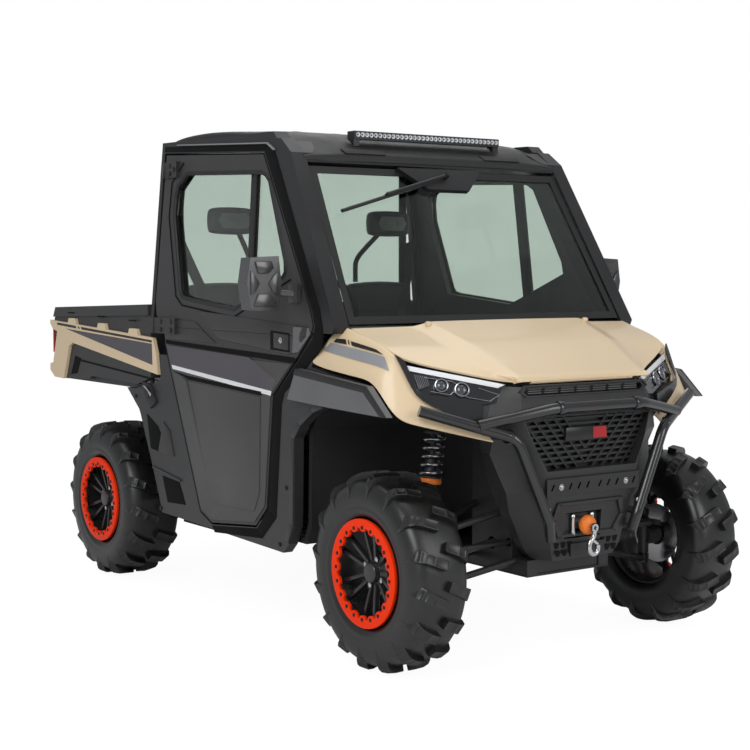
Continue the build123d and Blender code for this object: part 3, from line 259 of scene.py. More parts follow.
def stud(place, axis, radius, height, sides=6):
    """A bolt head standing on a face: a low prism with a chamfered top."""
    turn = Vector(axis).to_track_quat("Z", "Y").to_euler()
    head = rod(radius, height, Vector(place) + Vector(axis).normalized() * height / 2, turn, sides)
    sunk(head, is_top, (radius * 0.22, radius * 0.12))
    bpy.ops.object.transform_apply()
    return head


powder_coat = finish("powder_coat", (0.020, 0.020, 0.021), 0.42, 900, 0.25)
zinc_bolt = finish("zinc_bolt", (0.55, 0.55, 0.53), 0.3, 700, 0.1, metallic=1.0, drift=0.08)
moulded_black = finish("moulded_black", (0.014, 0.014, 0.015), 0.5, 1400, 0.35, drift=0.1)
dress(powder_coat, "main_frame", "rear_hitch")
dress(moulded_black, "underbody_skid")

bolt_rows, bolt_margin = 9, 0.12
skid_low, skid_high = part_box("underbody_skid")
bolt_pitch = (skid_high.x - skid_low.x - 2 * bolt_margin) / (bolt_rows - 1)
skid_bolts = [stud((skid_low.x + bolt_margin + row * bolt_pitch, across, skid_low.z), (0, 0, -1),
                   0.009, 0.005) for row in range(bolt_rows) for across in (-0.155, 0.155)]
settle(skid_bolts, "skid_bolts", zinc_bolt, "chassis")

# ---------------------------------------------------------------- engine and final drives
# The cast engine case sits under the bed, ribbed for cooling. A gear case on each axle
# drives the wheels through shafts with folded rubber boots.
cast_alloy = finish("cast_alloy", (0.16, 0.16, 0.16), 0.55, 500, 0.6, metallic=0.8, drift=0.18)
dress(cast_alloy, "engine_block", "axle_drives")


def slab(low, high):
    """A plain block between two corners, still to be shaped."""
    low, high = Vector(low), Vector(high)
    block = made_by(bpy.ops.mesh.primitive_cube_add, size=1, location=(low + high) / 2, scale=high - low)
    bpy.ops.object.transform_apply()
    return block


def slab_row(low, high, pitch, count):
    """A row of equal blocks, each one a pitch on from the last."""
    steps = [Vector(pitch) * step for step in range(count)]
    return [slab(Vector(low) + step, Vector(high) + step) for step in steps]


fin_reach = 0.006
engine_low, engine_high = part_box("engine_block")
fins = slab_row((engine_low.x - fin_reach, engine_low.y - fin_reach, engine_low.z + 0.05),
                (engine_high.x + fin_reach, engine_high.y + fin_reach, engine_low.z + 0.057),
                (0, 0, 0.028), 8)
settle(fins, "engine_fins", cast_alloy, "chassis", bevel=0.0015)


def faced_outward():
    """Turn every face of the active mesh to look outward."""
    bpy.ops.object.mode_set(mode="EDIT")
    bpy.ops.mesh.select_all(action="SELECT")
    bpy.ops.mesh.normals_make_consistent(inside=False)
    bpy.ops.object.mode_set(mode="OBJECT")


def turned(profile, place, axis, steps=48):
    """A turned part: the profile (radius, distance along the axis) spun round the axis."""
    part = made_by(bpy.ops.mesh.primitive_circle_add, vertices=len(profile), fill_type="NOTHING")
    for corner, (radius, along) in zip(part.data.vertices, profile):
        corner.co = (radius, 0, along)
    bpy.ops.object.mode_set(mode="EDIT")
    bpy.ops.mesh.select_all(action="SELECT")
    bpy.ops.mesh.spin(steps=steps, angle=2 * pi, center=(0, 0, 0), axis=(0, 0, 1))
    bpy.ops.mesh.select_all(action="SELECT")
    bpy.ops.mesh.remove_doubles(threshold=0.00005)
    bpy.ops.mesh.dissolve_degenerate(threshold=0.00005)
    bpy.ops.object.mode_set(mode="OBJECT")
    faced_outward()
    part.rotation_euler = Vector(axis).to_track_quat("Z", "Y").to_euler()
    part.location = place
    bpy.ops.object.transform_apply()
    return part


both = (-1, 1)
hands = ((-1, "right"), (1, "left"))
axles = ((1.135, "front", 0.111), (-0.895, "rear", 0.1275))  # x, name, half of the tyre's width
boot_rubber = finish("boot_rubber", (0.02, 0.02, 0.02), 0.65, 600, 0.3)
boot_folds = [(0.014, 0.0)]
for fold in range(6):
    boot_folds.append((0.040 - fold * 0.003, 0.004 + fold * 0.016))
    boot_folds.append((0.030 - fold * 0.002, 0.012 + fold * 0.016))
boot_folds.append((0.014, 0.1))
boots = [turned(boot_folds, (axle_x, side * 0.372, 0.362), (0, side * 388, -54), steps=28)
         for axle_x, _, _ in axles for side in both]
settle(boots, "shaft_boots", boot_rubber, "chassis")

# ---------------------------------------------------------------- suspension
# Tubular wishbones, cast knuckles with a ventilated disc, and a coil-over shock at each
# wheel: a steel tube and rod inside a bright spring, with an orange preload ring.
dress(powder_coat, "suspension_arms")
knuckle_iron = finish("knuckle_iron", (0.06, 0.06, 0.06), 0.5, 500, 0.5, metallic=0.6, drift=0.2)
dress(knuckle_iron, "knuckle_front_right", "knuckle_front_left", "knuckle_rear_right",
      "knuckle_rear_left")
spring_steel = finish("spring_steel", (0.42, 0.42, 0.43), 0.20, 500, 0.1, metallic=0.9, drift=0.1,
                      coat=0.4)
bright_steel = finish("bright_steel", (0.62, 0.62, 0.63), 0.2, 400, 0.1, metallic=1.0, drift=0.06,
                      stretch=(1, 1, 8))
preload_orange = finish("preload_orange", (0.85, 0.20, 0.02), 0.4, 600, 0.1, drift=0.06)


def stood(part, foot, head):
    """Turn a part made up the Z axis so that it runs from foot to head."""
    part.rotation_euler = (Vector(head) - Vector(foot)).to_track_quat("Z", "Y").to_euler()
    part.location = foot
    choose(part)
    bpy.ops.object.transform_apply()
    return part


def coil(radius, wire_radius, rise, turns):
    """A round-wire spring up the Z axis."""
    spring = made_by(bpy.ops.mesh.primitive_circle_add, vertices=8, radius=wire_radius,
                     location=(radius, 0, 0), rotation=(pi / 2, 0, 0))
    bpy.ops.object.transform_apply()
    worked(spring, "SCREW", steps=22, render_steps=22, iterations=turns, screw_offset=rise / turns)
    faced_outward()
    return spring


springs, tubes, rings = [], [], []
for axle_x, along, head_z, turns in ((1.135, -0.092, 0.808, 5), (-0.895, 0.092, 0.678, 3)):
    for side in both:
        foot = Vector((axle_x + along, side * 0.436, 0.322))
        head = Vector((axle_x + along, side * 0.372, head_z))
        run = head - foot
        long = run.length
        springs.append(stood(coil(0.036, 0.0062, long * 0.30, turns), foot + run * 0.635,
                             foot + run * 0.935))
        tubes.append(turned((
            (0.0, -0.014), (0.018, -0.014), (0.018, 0.03), (0.026, 0.034), (0.026, long * 0.615),
            (0.040, long * 0.620), (0.040, long * 0.632), (0.022, long * 0.640), (0.022, long * 0.76),
            (0.010, long * 0.77), (0.010, long * 0.93), (0.040, long * 0.935), (0.040, long * 0.955),
            (0.018, long * 0.965), (0.018, long + 0.016), (0.0, long + 0.016)), foot, run, steps=28))
        rings.append(turned(((0.026, 0.0), (0.040, 0.0), (0.042, 0.004), (0.042, 0.016), (0.040, 0.020),
                             (0.026, 0.020)), foot + run * 0.578, run, steps=28))
        tubes.append(rod(0.012, 0.184, (head.x, side * 0.280, head.z - 0.014), (pi / 2, 0, 0)))
        tubes.append(rod(0.010, 0.092, (axle_x + along * 0.7, foot.y, 0.304), (0, pi / 2, 0), 16))
shock_tubes = settle(tubes, "shock_tubes", powder_coat, "chassis", bevel=0.001)
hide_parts("shocks")
settle(springs, "shock_springs", spring_steel, "chassis", smooth=60)
settle(rings, "preload_rings", preload_orange, "chassis", bevel=0.001)

axle_z = 0.340
for axle_x, axle_name, _ in axles:
    for side, hand in hands:
        disc = turned(((0.045, 0.0), (0.112, 0.0), (0.112, 0.005), (0.045, 0.005)),
                      (axle_x, side * 0.626, axle_z), (0, side, 0), steps=64)
        bpy.ops.object.mode_set(mode="EDIT")
        bpy.ops.mesh.select_all(action="SELECT")
        bpy.ops.mesh.bevel(offset=0.0008, segments=1)
        bpy.ops.object.mode_set(mode="OBJECT")
        settle(disc, f"brake_disc_{axle_name}_{hand}", bright_steel, f"wheel_{axle_name}_{hand}")

# ---------------------------------------------------------------- tyres
# Moulded rubber mud tyres: a round carcass under two rows of tall slanted lugs that run from
# the crown over the shoulder and end in a forked foot on the sidewall.
tyre_rubber = finish("tyre_rubber", (0.0065, 0.0065, 0.0064), 0.34, 420, 0.35, drift=0.25, glint=0.7)


def drawn(corners, depth):
    """A closed plate drawn corner by corner, then pulled to its thickness along depth."""
    plate = made_by(bpy.ops.mesh.primitive_circle_add, vertices=len(corners), fill_type="NGON")
    for point, corner in zip(plate.data.vertices, corners):
        point.co = corner
    bpy.ops.object.mode_set(mode="EDIT")
    bpy.ops.mesh.select_all(action="SELECT")
    bpy.ops.mesh.extrude_region_move(TRANSFORM_OT_translate={"value": Vector(depth)})
    bpy.ops.object.mode_set(mode="OBJECT")
    faced_outward()
    return plate


def copies_round(part, count, axis_point, phase=0.0):
    """The part and its copies spaced evenly round the Y axis through a point, as one mesh."""
    made = []
    for step in range(count):
        choose(part)
        bpy.ops.object.duplicate()
        copy = bpy.context.object
        copy.data.transform(Matrix.Translation(axis_point)
                            @ Matrix.Rotation(phase + 2 * pi * step / count, 4, "Y")
                            @ Matrix.Translation(-axis_point))
        made.append(copy)
    bpy.data.objects.remove(part)
    return joined(made)


tyre_tip = 0.3395
tyre_face = 0.751
lugs_a_side = 16
lug_slant = radians(24)
lug_foot, foot_flare = 0.7, 0.28  # where a lug's foot starts, as a share of the half width
carcass_profile = (  # share of the half width, depth under the lugs' tips
    (-0.76, 0.152), (-0.86, 0.150), (-0.93, 0.138), (-0.97, 0.110), (-0.975, 0.085), (-0.95, 0.062),
    (-0.88, 0.042), (-0.74, 0.030), (-0.50, 0.0245), (-0.20, 0.0225), (0.20, 0.0225), (0.50, 0.0245),
    (0.74, 0.030), (0.88, 0.042), (0.95, 0.062), (0.975, 0.085), (0.97, 0.110), (0.955, 0.120),
    (0.965, 0.124), (0.95, 0.132), (0.93, 0.138), (0.86, 0.150), (0.76, 0.152))
lug_profile = ((0.02, 0.000), (0.50, 0.0015), (0.80, 0.010), (0.93, 0.022), (1.0, 0.042), (1.005, 0.088),
               (0.93, 0.092), (0.80, 0.050), (0.02, 0.036))


def is_tread(face):
    """Whether a face of a lug is one of those that meet the ground."""
    return (abs(face.normal.x) < 0.3 and face.normal.z > 0.2
            and face.calc_center_median().z > tyre_tip - 0.034)


for axle_x, axle_name, half in axles:
    for side, hand in hands:
        middle = Vector((axle_x, side * (tyre_face - half), axle_z))
        rows = [turned([(tyre_tip - depth, share * half) for share, depth in carcass_profile],
                       middle, (0, side, 0), steps=96)]
        for tread_side in both:
            lug = drawn([(-0.017, share * half, tyre_tip - depth) for share, depth in lug_profile],
                        (0.034, 0, 0))
            sunk(lug, is_tread, (0.006, -0.0035))
            for corner in lug.data.vertices:
                spread = abs(corner.co.y) / half
                if spread > lug_foot:
                    corner.co.x *= 1.0 + foot_flare * (spread - lug_foot) / (1.0 - lug_foot)
            worked(lug, "BEVEL", width=0.0022, segments=1, limit_method="ANGLE",
                   angle_limit=radians(30))
            lug.data.transform(Matrix.Scale(tread_side, 4, (0, 1, 0)))
            lug.data.transform(Matrix.Translation(middle) @ Matrix.Rotation(lug_slant * side, 4, "Z"))
            phase = 0.0 if tread_side * side < 0 else pi / lugs_a_side
            rows.append(copies_round(lug, lugs_a_side, middle, phase))
        tyre = joined(rows)
        faced_outward()
        settle(tyre, f"mud_tyre_{axle_name}_{hand}", tyre_rubber, f"wheel_{axle_name}_{hand}",
               smooth=40)
        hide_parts(f"tyre_{axle_name}_{hand}")

# ---------------------------------------------------------------- rims
# Cast black wheels with split spokes. A toothed orange bead ring is bolted over each outer
# bead, and four bright nuts hold the wheel.
rim_black = finish("rim_black", (0.02, 0.02, 0.021), 0.3, 500, 0.15, drift=0.1, coat=0.3)
ring_orange = finish("ring_orange", (0.98, 0.040, 0.002), 0.40, 500, 0.1, drift=0.05, glint=0.12)
bolt_black = finish("bolt_black", (0.03, 0.03, 0.032), 0.35, 600, 0.1, metallic=0.6)
ring_teeth = 20
spokes_round = 6
rim_face = 0.737
spoke_foot, spoke_tip = 0.040, 0.168
reach = pi / ring_teeth
ring_sector = (  # radius, angle
    (0.1836, -reach), (0.1836, -reach / 2), (0.1836, 0), (0.1836, reach / 2), (0.1836, reach),
    (0.1545, reach), (0.1525, reach * 0.72), (0.1425, reach * 0.46), (0.1410, 0),
    (0.1425, -reach * 0.46), (0.1525, -reach * 0.72), (0.1545, -reach))
for axle_x, axle_name, half in axles:
    for side, hand in hands:
        hub = Vector((axle_x, 0, axle_z))
        outward = (0, side, 0)
        body = f"wheel_{axle_name}_{hand}"
        inner = -2 * half
        barrel = turned((
            (0.172, inner + 0.046), (0.186, inner + 0.040), (0.186, inner + 0.052), (0.178, inner + 0.062),
            (0.174, -0.060), (0.176, -0.020), (0.183, -0.002), (0.183, 0.0), (0.150, 0.0), (0.150, -0.006),
            (0.166, -0.016), (0.166, -0.058), (0.170, inner + 0.066)),
            (axle_x, side * rim_face, axle_z), outward, steps=72)
        blades = [drawn([(axle_x + lean * across, side * (rim_face - 0.060 + 0.030 * up / spoke_tip),
                          axle_z + up) for across, up in ((0.004, spoke_foot), (0.016, spoke_foot),
                                                          (0.040, spoke_tip), (0.026, spoke_tip))],
                        (0, side * 0.020, 0)) for lean in both]
        spokes = copies_round(joined(blades), spokes_round, hub)
        centre = turned(((0.0, 0.0), (0.030, 0.0), (0.034, -0.004), (0.036, -0.022), (0.062, -0.028),
                         (0.066, -0.034), (0.066, -0.058), (0.030, -0.060), (0.0, -0.060)),
                        (axle_x, side * 0.722, axle_z), outward, steps=40)
        wheel = settle([barrel, spokes, centre], f"spoked_wheel_{axle_name}_{hand}", rim_black, body,
                       bevel=0.0015)
        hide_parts(f"rim_{axle_name}_{hand}")

        tooth = drawn([(axle_x + radius * sin(turn), side * rim_face, axle_z + radius * cos(turn))
                       for radius, turn in ring_sector], (0, side * 0.012, 0))
        ring = copies_round(tooth, ring_teeth, hub)
        bpy.ops.object.mode_set(mode="EDIT")
        bpy.ops.mesh.select_all(action="SELECT")
        bpy.ops.mesh.remove_doubles(threshold=0.0002)
        bpy.ops.mesh.select_all(action="DESELECT")
        bpy.ops.mesh.select_interior_faces()
        bpy.ops.mesh.delete(type="FACE")
        bpy.ops.object.mode_set(mode="OBJECT")
        faced_outward()
        settle(ring, f"bead_ring_{axle_name}_{hand}", ring_orange, body, bevel=0.0018)
        bolt = stud((axle_x, side * 0.7485, axle_z + 0.1545), outward, 0.0068, 0.0030)
        settle(copies_round(bolt, ring_teeth, hub), f"ring_bolts_{axle_name}_{hand}", bolt_black, body)
        nut = stud((axle_x, side * 0.686, axle_z + 0.050), outward, 0.0105, 0.020)
        settle(copies_round(nut, 4, hub, phase=0.4), f"wheel_nuts_{axle_name}_{hand}", bright_steel, body)

# ---------------------------------------------------------------- cab tub and dashboard
# A moulded black tub with a ribbed rubber mat on the footwell, and a stepped dashboard with a
# hooded gauge, round vents and a row of switches. Two pedals and a shift lever stand at it.
grained_black = finish("grained_black", (0.015, 0.015, 0.016), 0.58, 1800, 0.5, drift=0.12)
mat_rubber = finish("mat_rubber", (0.02, 0.02, 0.02), 0.72, 900, 0.4)
dress(grained_black, "cab_tub", "dashboard")
dress(moulded_black, "steering_column")
dress(powder_coat, "steering_rack")

mat = slab((0.105, -0.60, 0.375), (0.61, 0.60, 0.379))
mat_ribs = slab_row((0.13, -0.56, 0.379), (0.142, 0.56, 0.383), (0.034, 0, 0), 14)
settle([mat, *mat_ribs], "floor_mat", mat_rubber, "chassis", bevel=0.001)

pedals = []
for place, width in ((-0.48, 0.09), (-0.34, 0.07)):
    near, far = place - width / 2, place + width / 2
    pedals.append(drawn([(0.590, near, 0.47), (0.590, far, 0.47), (0.618, far, 0.56), (0.618, near, 0.56)],
                        (0.010, 0, -0.003)))
    pedals.append(slab((0.612, place - 0.010, 0.53), (0.650, place + 0.010, 0.60)))
settle(pedals, "pedals", powder_coat, "chassis", bevel=0.002)

gauge_glass = finish("gauge_glass", (0.008, 0.010, 0.012), 0.12, 300, 0.02, drift=0.2, coat=0.6)
vents = []
for place in (-0.545, -0.235, 0.17, 0.545):
    vents.append(turned(((0.030, 0.0), (0.046, 0.0), (0.048, 0.004), (0.046, 0.010), (0.034, 0.012),
                         (0.030, 0.004)), (0.574, place, 1.035), (-1, 0, 0.05), steps=36))
    vents += slab_row((0.566, place - 0.029, 1.018), (0.575, place + 0.029, 1.021), (0, 0, 0.0115), 4)
settle(vents, "dash_vents", moulded_black, "chassis", bevel=0.0006)
gauge_hood = drawn([(0.590, -0.515, 1.100), (0.590, -0.285, 1.100), (0.566, -0.305, 1.172),
                    (0.566, -0.495, 1.172)], (0.085, 0, -0.02))
settle(gauge_hood, "gauge_hood", grained_black, "chassis", bevel=0.010)
gauge_face = drawn([(0.5835, -0.485, 1.108), (0.5835, -0.315, 1.108), (0.5665, -0.325, 1.160),
                    (0.5665, -0.475, 1.160)], (-0.003, 0, -0.001))
settle(gauge_face, "gauge_face", gauge_glass, "chassis", bevel=0.001)
switches = slab_row((0.566, -0.115, 1.018), (0.574, -0.090, 1.052), (0, 0.034, 0), 6)
settle(switches, "dash_switches", moulded_black, "chassis", bevel=0.003)
lever = turned(((0.0, 0.0), (0.010, 0.0), (0.007, 0.05), (0.007, 0.12), (0.016, 0.135), (0.021, 0.160),
                (0.018, 0.182), (0.0, 0.188)), (0.585, -0.165, 0.968), (-0.62, 0.0, 0.55), steps=28)
settle(lever, "shift_lever", moulded_black, "chassis")

# ---------------------------------------------------------------- steering wheel
# A padded ring on three spokes with a domed centre pad, moulded over a steel core and
# splined to the column.
wheel_grip = finish("wheel_grip", (0.022, 0.022, 0.022), 0.6, 1300, 0.5)
dress(wheel_grip, "steering_wheel")
column_head = (0.330, -0.400, 1.135)
column_line = (-0.927425, 0, 0.373962)
pad = turned(((0.0, 0.030), (0.030, 0.029), (0.050, 0.022), (0.060, 0.010), (0.061, -0.008),
              (0.050, -0.016), (0.0, -0.016)), column_head, column_line, steps=40)
settle(pad, "wheel_centre_pad", moulded_black, "steering_wheel")

# ---------------------------------------------------------------- seats
# Three foam seats in black grained vinyl. Each cushion and back is stuffed and crowned, with
# a sewn seam line across it, on the tub's seat base.
seat_vinyl, vinyl_tree, vinyl_shader = bare_material("seat_vinyl")
fill(vinyl_shader, Sheen_Weight=0.15)
vinyl_place = node(vinyl_tree, "TexCoord").outputs["Object"]
vinyl_cells = node(vinyl_tree, "TexVoronoi", Scale=420)
vinyl_creases = node(vinyl_tree, "TexNoise", Scale=14, Detail=8)
vinyl_tones = ramp(vinyl_tree, (0.020, 0.020, 0.021), (0.045, 0.045, 0.047))
vinyl_rough = node(vinyl_tree, "MapRange", To_Min=0.42, To_Max=0.62)
vinyl_bump = node(vinyl_tree, "Bump", Strength=0.5, Distance=0.001)
vinyl_height = sums(vinyl_tree, "MULTIPLY_ADD", vinyl_cells.outputs["Distance"], 0.6,
                    vinyl_creases.outputs["Fac"])
wire(vinyl_tree, (vinyl_place, vinyl_cells.inputs["Vector"]), (vinyl_place, vinyl_creases.inputs["Vector"]),
     (vinyl_creases.outputs["Fac"], vinyl_tones.inputs["Fac"]),
     (vinyl_creases.outputs["Fac"], vinyl_rough.inputs["Value"]),
     (vinyl_rough.outputs[0], vinyl_shader.inputs["Roughness"]),
     (vinyl_tones.outputs["Color"], vinyl_shader.inputs["Base Color"]),
     (vinyl_height, vinyl_bump.inputs["Height"]), (vinyl_bump.outputs[0], vinyl_shader.inputs["Normal"]))
stuffing_pressure = 3.0


def stuffed(low, high, crown, cap):
    """A foam pad: a crowned block, then inflated as cloth with every point's move capped."""
    pad = slab(low, high)
    bpy.ops.object.mode_set(mode="EDIT")
    bpy.ops.mesh.select_all(action="SELECT")
    bpy.ops.mesh.subdivide(number_cuts=5)
    bpy.ops.object.mode_set(mode="OBJECT")
    middle = (Vector(low) + Vector(high)) / 2
    reach = (Vector(high) - Vector(low)) / 2
    for corner in pad.data.vertices:
        share = [(corner.co[k] - middle[k]) / reach[k] for k in range(3)]
        for k in range(3):
            pull = sum(share[j] ** 2 for j in range(3) if j != k) / 2
            corner.co[k] = middle[k] + share[k] * reach[k] * (1 - crown * pull)
    worked(pad, "REMESH", mode="VOXEL", voxel_size=0.009)
    rest = [corner.co.copy() for corner in pad.data.vertices]
    cloth = pad.modifiers.new("stuffing", "CLOTH")
    cloth.settings.use_pressure = True
    cloth.settings.uniform_pressure_force = stuffing_pressure
    cloth.settings.effector_weights.gravity = 0
    cloth.settings.quality = 4
    cloth.point_cache.frame_start = 1
    cloth.point_cache.frame_end = 14
    for number in range(1, 15):
        bpy.context.scene.frame_set(number)
    bpy.ops.object.modifier_apply(modifier="stuffing")
    bpy.context.scene.frame_set(1)
    for corner, start in zip(pad.data.vertices, rest):
        move = corner.co - start
        if move.length > cap:
            corner.co = start + move.normalized() * cap
    worked(pad, "SMOOTH", factor=0.6, iterations=6)
    return pad


def welt(points, radius):
    """A round bar along a smooth line of points, such as a sewn welt or a rubber seal."""
    line = made_by(bpy.ops.curve.primitive_nurbs_path_add)
    path = line.data.splines[0]
    path.points.add(max(len(points) - len(path.points), 0))
    for point, place in zip(path.points, points):
        point.co = (*place, 1)
    for point in path.points[len(points):]:
        point.co = (*points[-1], 1)
    path.order_u = 3
    path.use_endpoint_u = True
    line.data.bevel_depth = radius
    line.data.bevel_resolution = 2
    line.data.use_fill_caps = True
    bpy.ops.object.convert(target="MESH")
    return bpy.context.object


seat_half = 0.180
seam_radius = 0.0022
for number, place in enumerate((-0.400, 0.0, 0.400)):
    near, far = place - seat_half, place + seat_half
    cushion = stuffed((-0.298, near, 0.616), (0.104, far, 0.738), 0.10, 0.008)
    settle(cushion, f"seat_cushion_pad_{number}", seat_vinyl, "chassis", smooth=60)
    back = stuffed((-0.420, near, 0.735), (-0.348, far, 1.300), 0.09, 0.007)
    settle(back, f"seat_back_pad_{number}", seat_vinyl, "chassis", smooth=60)
    if number == 0:
        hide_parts("seat_cushions")
        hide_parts("seat_backs")
    seams = [welt([(-0.10, place - 0.168, 0.738), (-0.10, place, 0.7455), (-0.10, place + 0.168, 0.738)],
                  seam_radius),
             welt([(-0.345, place - 0.165, 1.16), (-0.3385, place, 1.16), (-0.345, place + 0.165, 1.16)],
                  seam_radius)]
    settle(seams, f"seat_seams_{number}", grained_black, "chassis", smooth=60)

# ---------------------------------------------------------------- headrests and belts
# Vinyl head pads with a grey plate, on bent steel tubes behind the two outer seat backs, and
# black woven shoulder belts that run down to a buckle block.
pad_grey = finish("pad_grey", (0.24, 0.25, 0.25), 0.45, 700, 0.2, drift=0.08)


def pane(along, outline, deep):
    """A flat plate that faces forward at a distance along, with its outline given as (y, z)."""
    return drawn([(along, across, up) for across, up in outline], (deep, 0, 0))


plates, posts = [], []
for number, place in enumerate((-0.400, 0.400)):
    head = stuffed((-0.346, place - 0.108, 1.494), (-0.282, place + 0.108, 1.604), 0.12, 0.006)
    settle(head, f"headrest_pad_{number}", seat_vinyl, "chassis", smooth=60)
    if number == 0:
        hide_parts("headrests")
    plates.append(pane(-0.288, [(place + across, up) for across, up in (
        (-0.078, 1.549), (-0.058, 1.580), (0.058, 1.580), (0.078, 1.549), (0.058, 1.518), (-0.058, 1.518))],
        0.013))
    plates += [stud((-0.276, place + across, 1.549), (1, 0, 0), 0.008, 0.003) for across in (-0.030, 0.030)]
    inboard = -1 if place > 0 else 1
    posts.append(welt([(along, place + inboard * across, up) for along, across, up in (
        (-0.325, 0.040, 1.505), (-0.352, 0.085, 1.45), (-0.380, 0.130, 1.39), (-0.380, 0.130, 1.33),
        (-0.380, 0.130, 1.29))], 0.011))
settle(plates, "headrest_plates", pad_grey, "chassis", bevel=0.002)
settle(posts, "headrest_posts", moulded_black, "chassis", smooth=60)

belt_web, web_tree, web_shader = bare_material("belt_web")
fill(web_shader, Roughness=0.7)
web_wave = node(web_tree, "TexWave", Scale=260)
web_tones = ramp(web_tree, (0.012, 0.012, 0.013), (0.04, 0.04, 0.042))
web_bump = node(web_tree, "Bump", Strength=0.4, Distance=0.001)
wire(web_tree, (node(web_tree, "TexCoord").outputs["Object"], web_wave.inputs["Vector"]),
     (web_wave.outputs["Fac"], web_tones.inputs["Fac"]),
     (web_tones.outputs["Color"], web_shader.inputs["Base Color"]),
     (web_wave.outputs["Fac"], web_bump.inputs["Height"]),
     (web_bump.outputs[0], web_shader.inputs["Normal"]))


def grid_of(rows):
    """A sheet of faces through equal rows of points."""
    count = len(rows[0])
    made = made_by(bpy.ops.mesh.primitive_grid_add, x_subdivisions=count - 1,
                   y_subdivisions=len(rows) - 1)
    for number, corner in enumerate(made.data.vertices):
        corner.co = rows[number // count][number % count]
    return made


def strap(points, across, thickness):
    """A flat strap laid through points, of a given half width, solid all round."""
    band = grid_of([[Vector(point) + Vector(across) * edge for point in points] for edge in both])
    worked(band, "SOLIDIFY", thickness=thickness)
    faced_outward()
    return band


belts = []
for place in (-0.400, 0.400):
    outboard = 1 if place > 0 else -1
    belts.append(strap([(along, place + outboard * across, up) for along, across, up in (
        (-0.415, 0.19, 1.47), (-0.36, 0.15, 1.33), (-0.325, 0.10, 1.20), (-0.322, 0.01, 0.95),
        (-0.300, -0.12, 0.79))], (0, 0.023, 0.006), 0.0025))
    buckle = place - outboard * 0.135
    belts.append(slab((-0.318, buckle - 0.018, 0.745), (-0.290, buckle + 0.018, 0.800)))
settle(belts, "seat_belts", belt_web, "chassis", bevel=0.0008)

# ---------------------------------------------------------------- cab frame and roof
# Pressed and welded steel posts and rails, powder coated and bolted to the tub. The roof is
# one moulded black shell over them, with raised ribs and two visor pads at its front.
satin_black = finish("satin_black", (0.016, 0.016, 0.017), 0.36, 1100, 0.25, drift=0.1)
dress(satin_black, "cab_frame")
roof_plastic = finish("roof_plastic", (0.013, 0.013, 0.013), 0.5, 1500, 0.5, drift=0.12)


def moulding(rows, wall, levels=2):
    """A smooth moulded skin through rows of points, thickened inward from its face."""
    made = grid_of(rows)
    worked(made, "SUBSURF", levels=levels, render_levels=levels, boundary_smooth="PRESERVE_CORNERS")
    worked(made, "SOLIDIFY", thickness=wall, offset=-1)
    faced_outward()
    return made


def mirrored(rows):
    """Rows counted outward from the centre line, with their mirror images put before them."""
    return [[(along, -across, up) for along, across, up in row] for row in rows[:0:-1]] + rows


roof_stations = (  # x, half width, rim z, edge z, shoulder half width, crown z
    (-0.512, 0.560, 1.836, 1.836, 0.430, 1.837), (-0.511, 0.562, 1.836, 1.846, 0.430, 1.866),
    (-0.500, 0.572, 1.835, 1.853, 0.438, 1.877), (-0.440, 0.622, 1.830, 1.872, 0.480, 1.888),
    (-0.320, 0.636, 1.827, 1.885, 0.500, 1.896), (-0.150, 0.642, 1.822, 1.889, 0.510, 1.897),
    (0.000, 0.646, 1.818, 1.885, 0.510, 1.893), (0.180, 0.645, 1.808, 1.871, 0.505, 1.884),
    (0.330, 0.642, 1.797, 1.857, 0.500, 1.870), (0.480, 0.628, 1.780, 1.801, 0.470, 1.828),
    (0.552, 0.608, 1.753, 1.769, 0.444, 1.782), (0.564, 0.605, 1.749, 1.763, 0.441, 1.774),
    (0.566, 0.604, 1.748, 1.748, 0.440, 1.748),
)
sections = [[(along, across, up) for across, up in (
    (0.0, crown_z), (shoulder * 0.6, crown_z), (shoulder - 0.02, crown_z - 0.0005),
    (shoulder + 0.02, crown_z - 0.006), (half - 0.035, edge_z + (crown_z - edge_z) * 0.24),
    (half - 0.008, edge_z - 0.003), (half, edge_z - 0.014 if edge_z > rim_z + 0.02 else edge_z),
    (half, rim_z))]
    for along, half, rim_z, edge_z, shoulder, crown_z in roof_stations]
roof_skin = settle(moulding(mirrored(list(zip(*sections))), 0.009), "roof_skin", roof_plastic,
                   "chassis", smooth=50)
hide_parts("roof_shell")
roof_ribs = [drawn([(-0.30, place - 0.022, 1.8890), (0.14, place - 0.022, 1.8800),
                    (0.14, place + 0.022, 1.8800), (-0.30, place + 0.022, 1.8890)], (0, 0, 0.009))
             for place in (-0.36, -0.18, 0.0, 0.18, 0.36)]
settle(roof_ribs, "roof_ribs", roof_plastic, "chassis", bevel=0.004)
visor_pads = [drawn([(0.535, place - 0.10, 1.7935), (0.535, place + 0.10, 1.7935),
                     (0.562, place + 0.09, 1.7745), (0.562, place - 0.09, 1.7745)], (0.002, 0, 0.003))
              for place in (-0.33, 0.33)]
settle(visor_pads, "visor_pads", grained_black, "chassis", bevel=0.0015)

# ---------------------------------------------------------------- light bar
# An extruded alloy housing on two feet on the roof's front edge, with a long row of bright
# reflector cups along its face.
bar_alloy = finish("bar_alloy", (0.05, 0.05, 0.052), 0.35, 500, 0.1, metallic=0.7, drift=0.06)
dress(bar_alloy, "light_bar")
cup_silver = finish("cup_silver", (0.80, 0.82, 0.85), 0.22, 300, 0.1, metallic=0.6, drift=0.1)
bar_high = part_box("light_bar")[1]
cup_count, cup_row_half = 34, 0.335
cups = []
for step in range(cup_count):
    across = cup_row_half * (2 * step / (cup_count - 1) - 1)
    cup = rod(0.0088, 0.004, (bar_high.x + 0.001, across, bar_high.z - 0.014), (0, pi / 2, 0), 10)
    sunk(cup, is_top, (0.0012, 0), (0.004, -0.003))
    cups.append(cup)
settle(cups, "light_cups", cup_silver, "chassis")

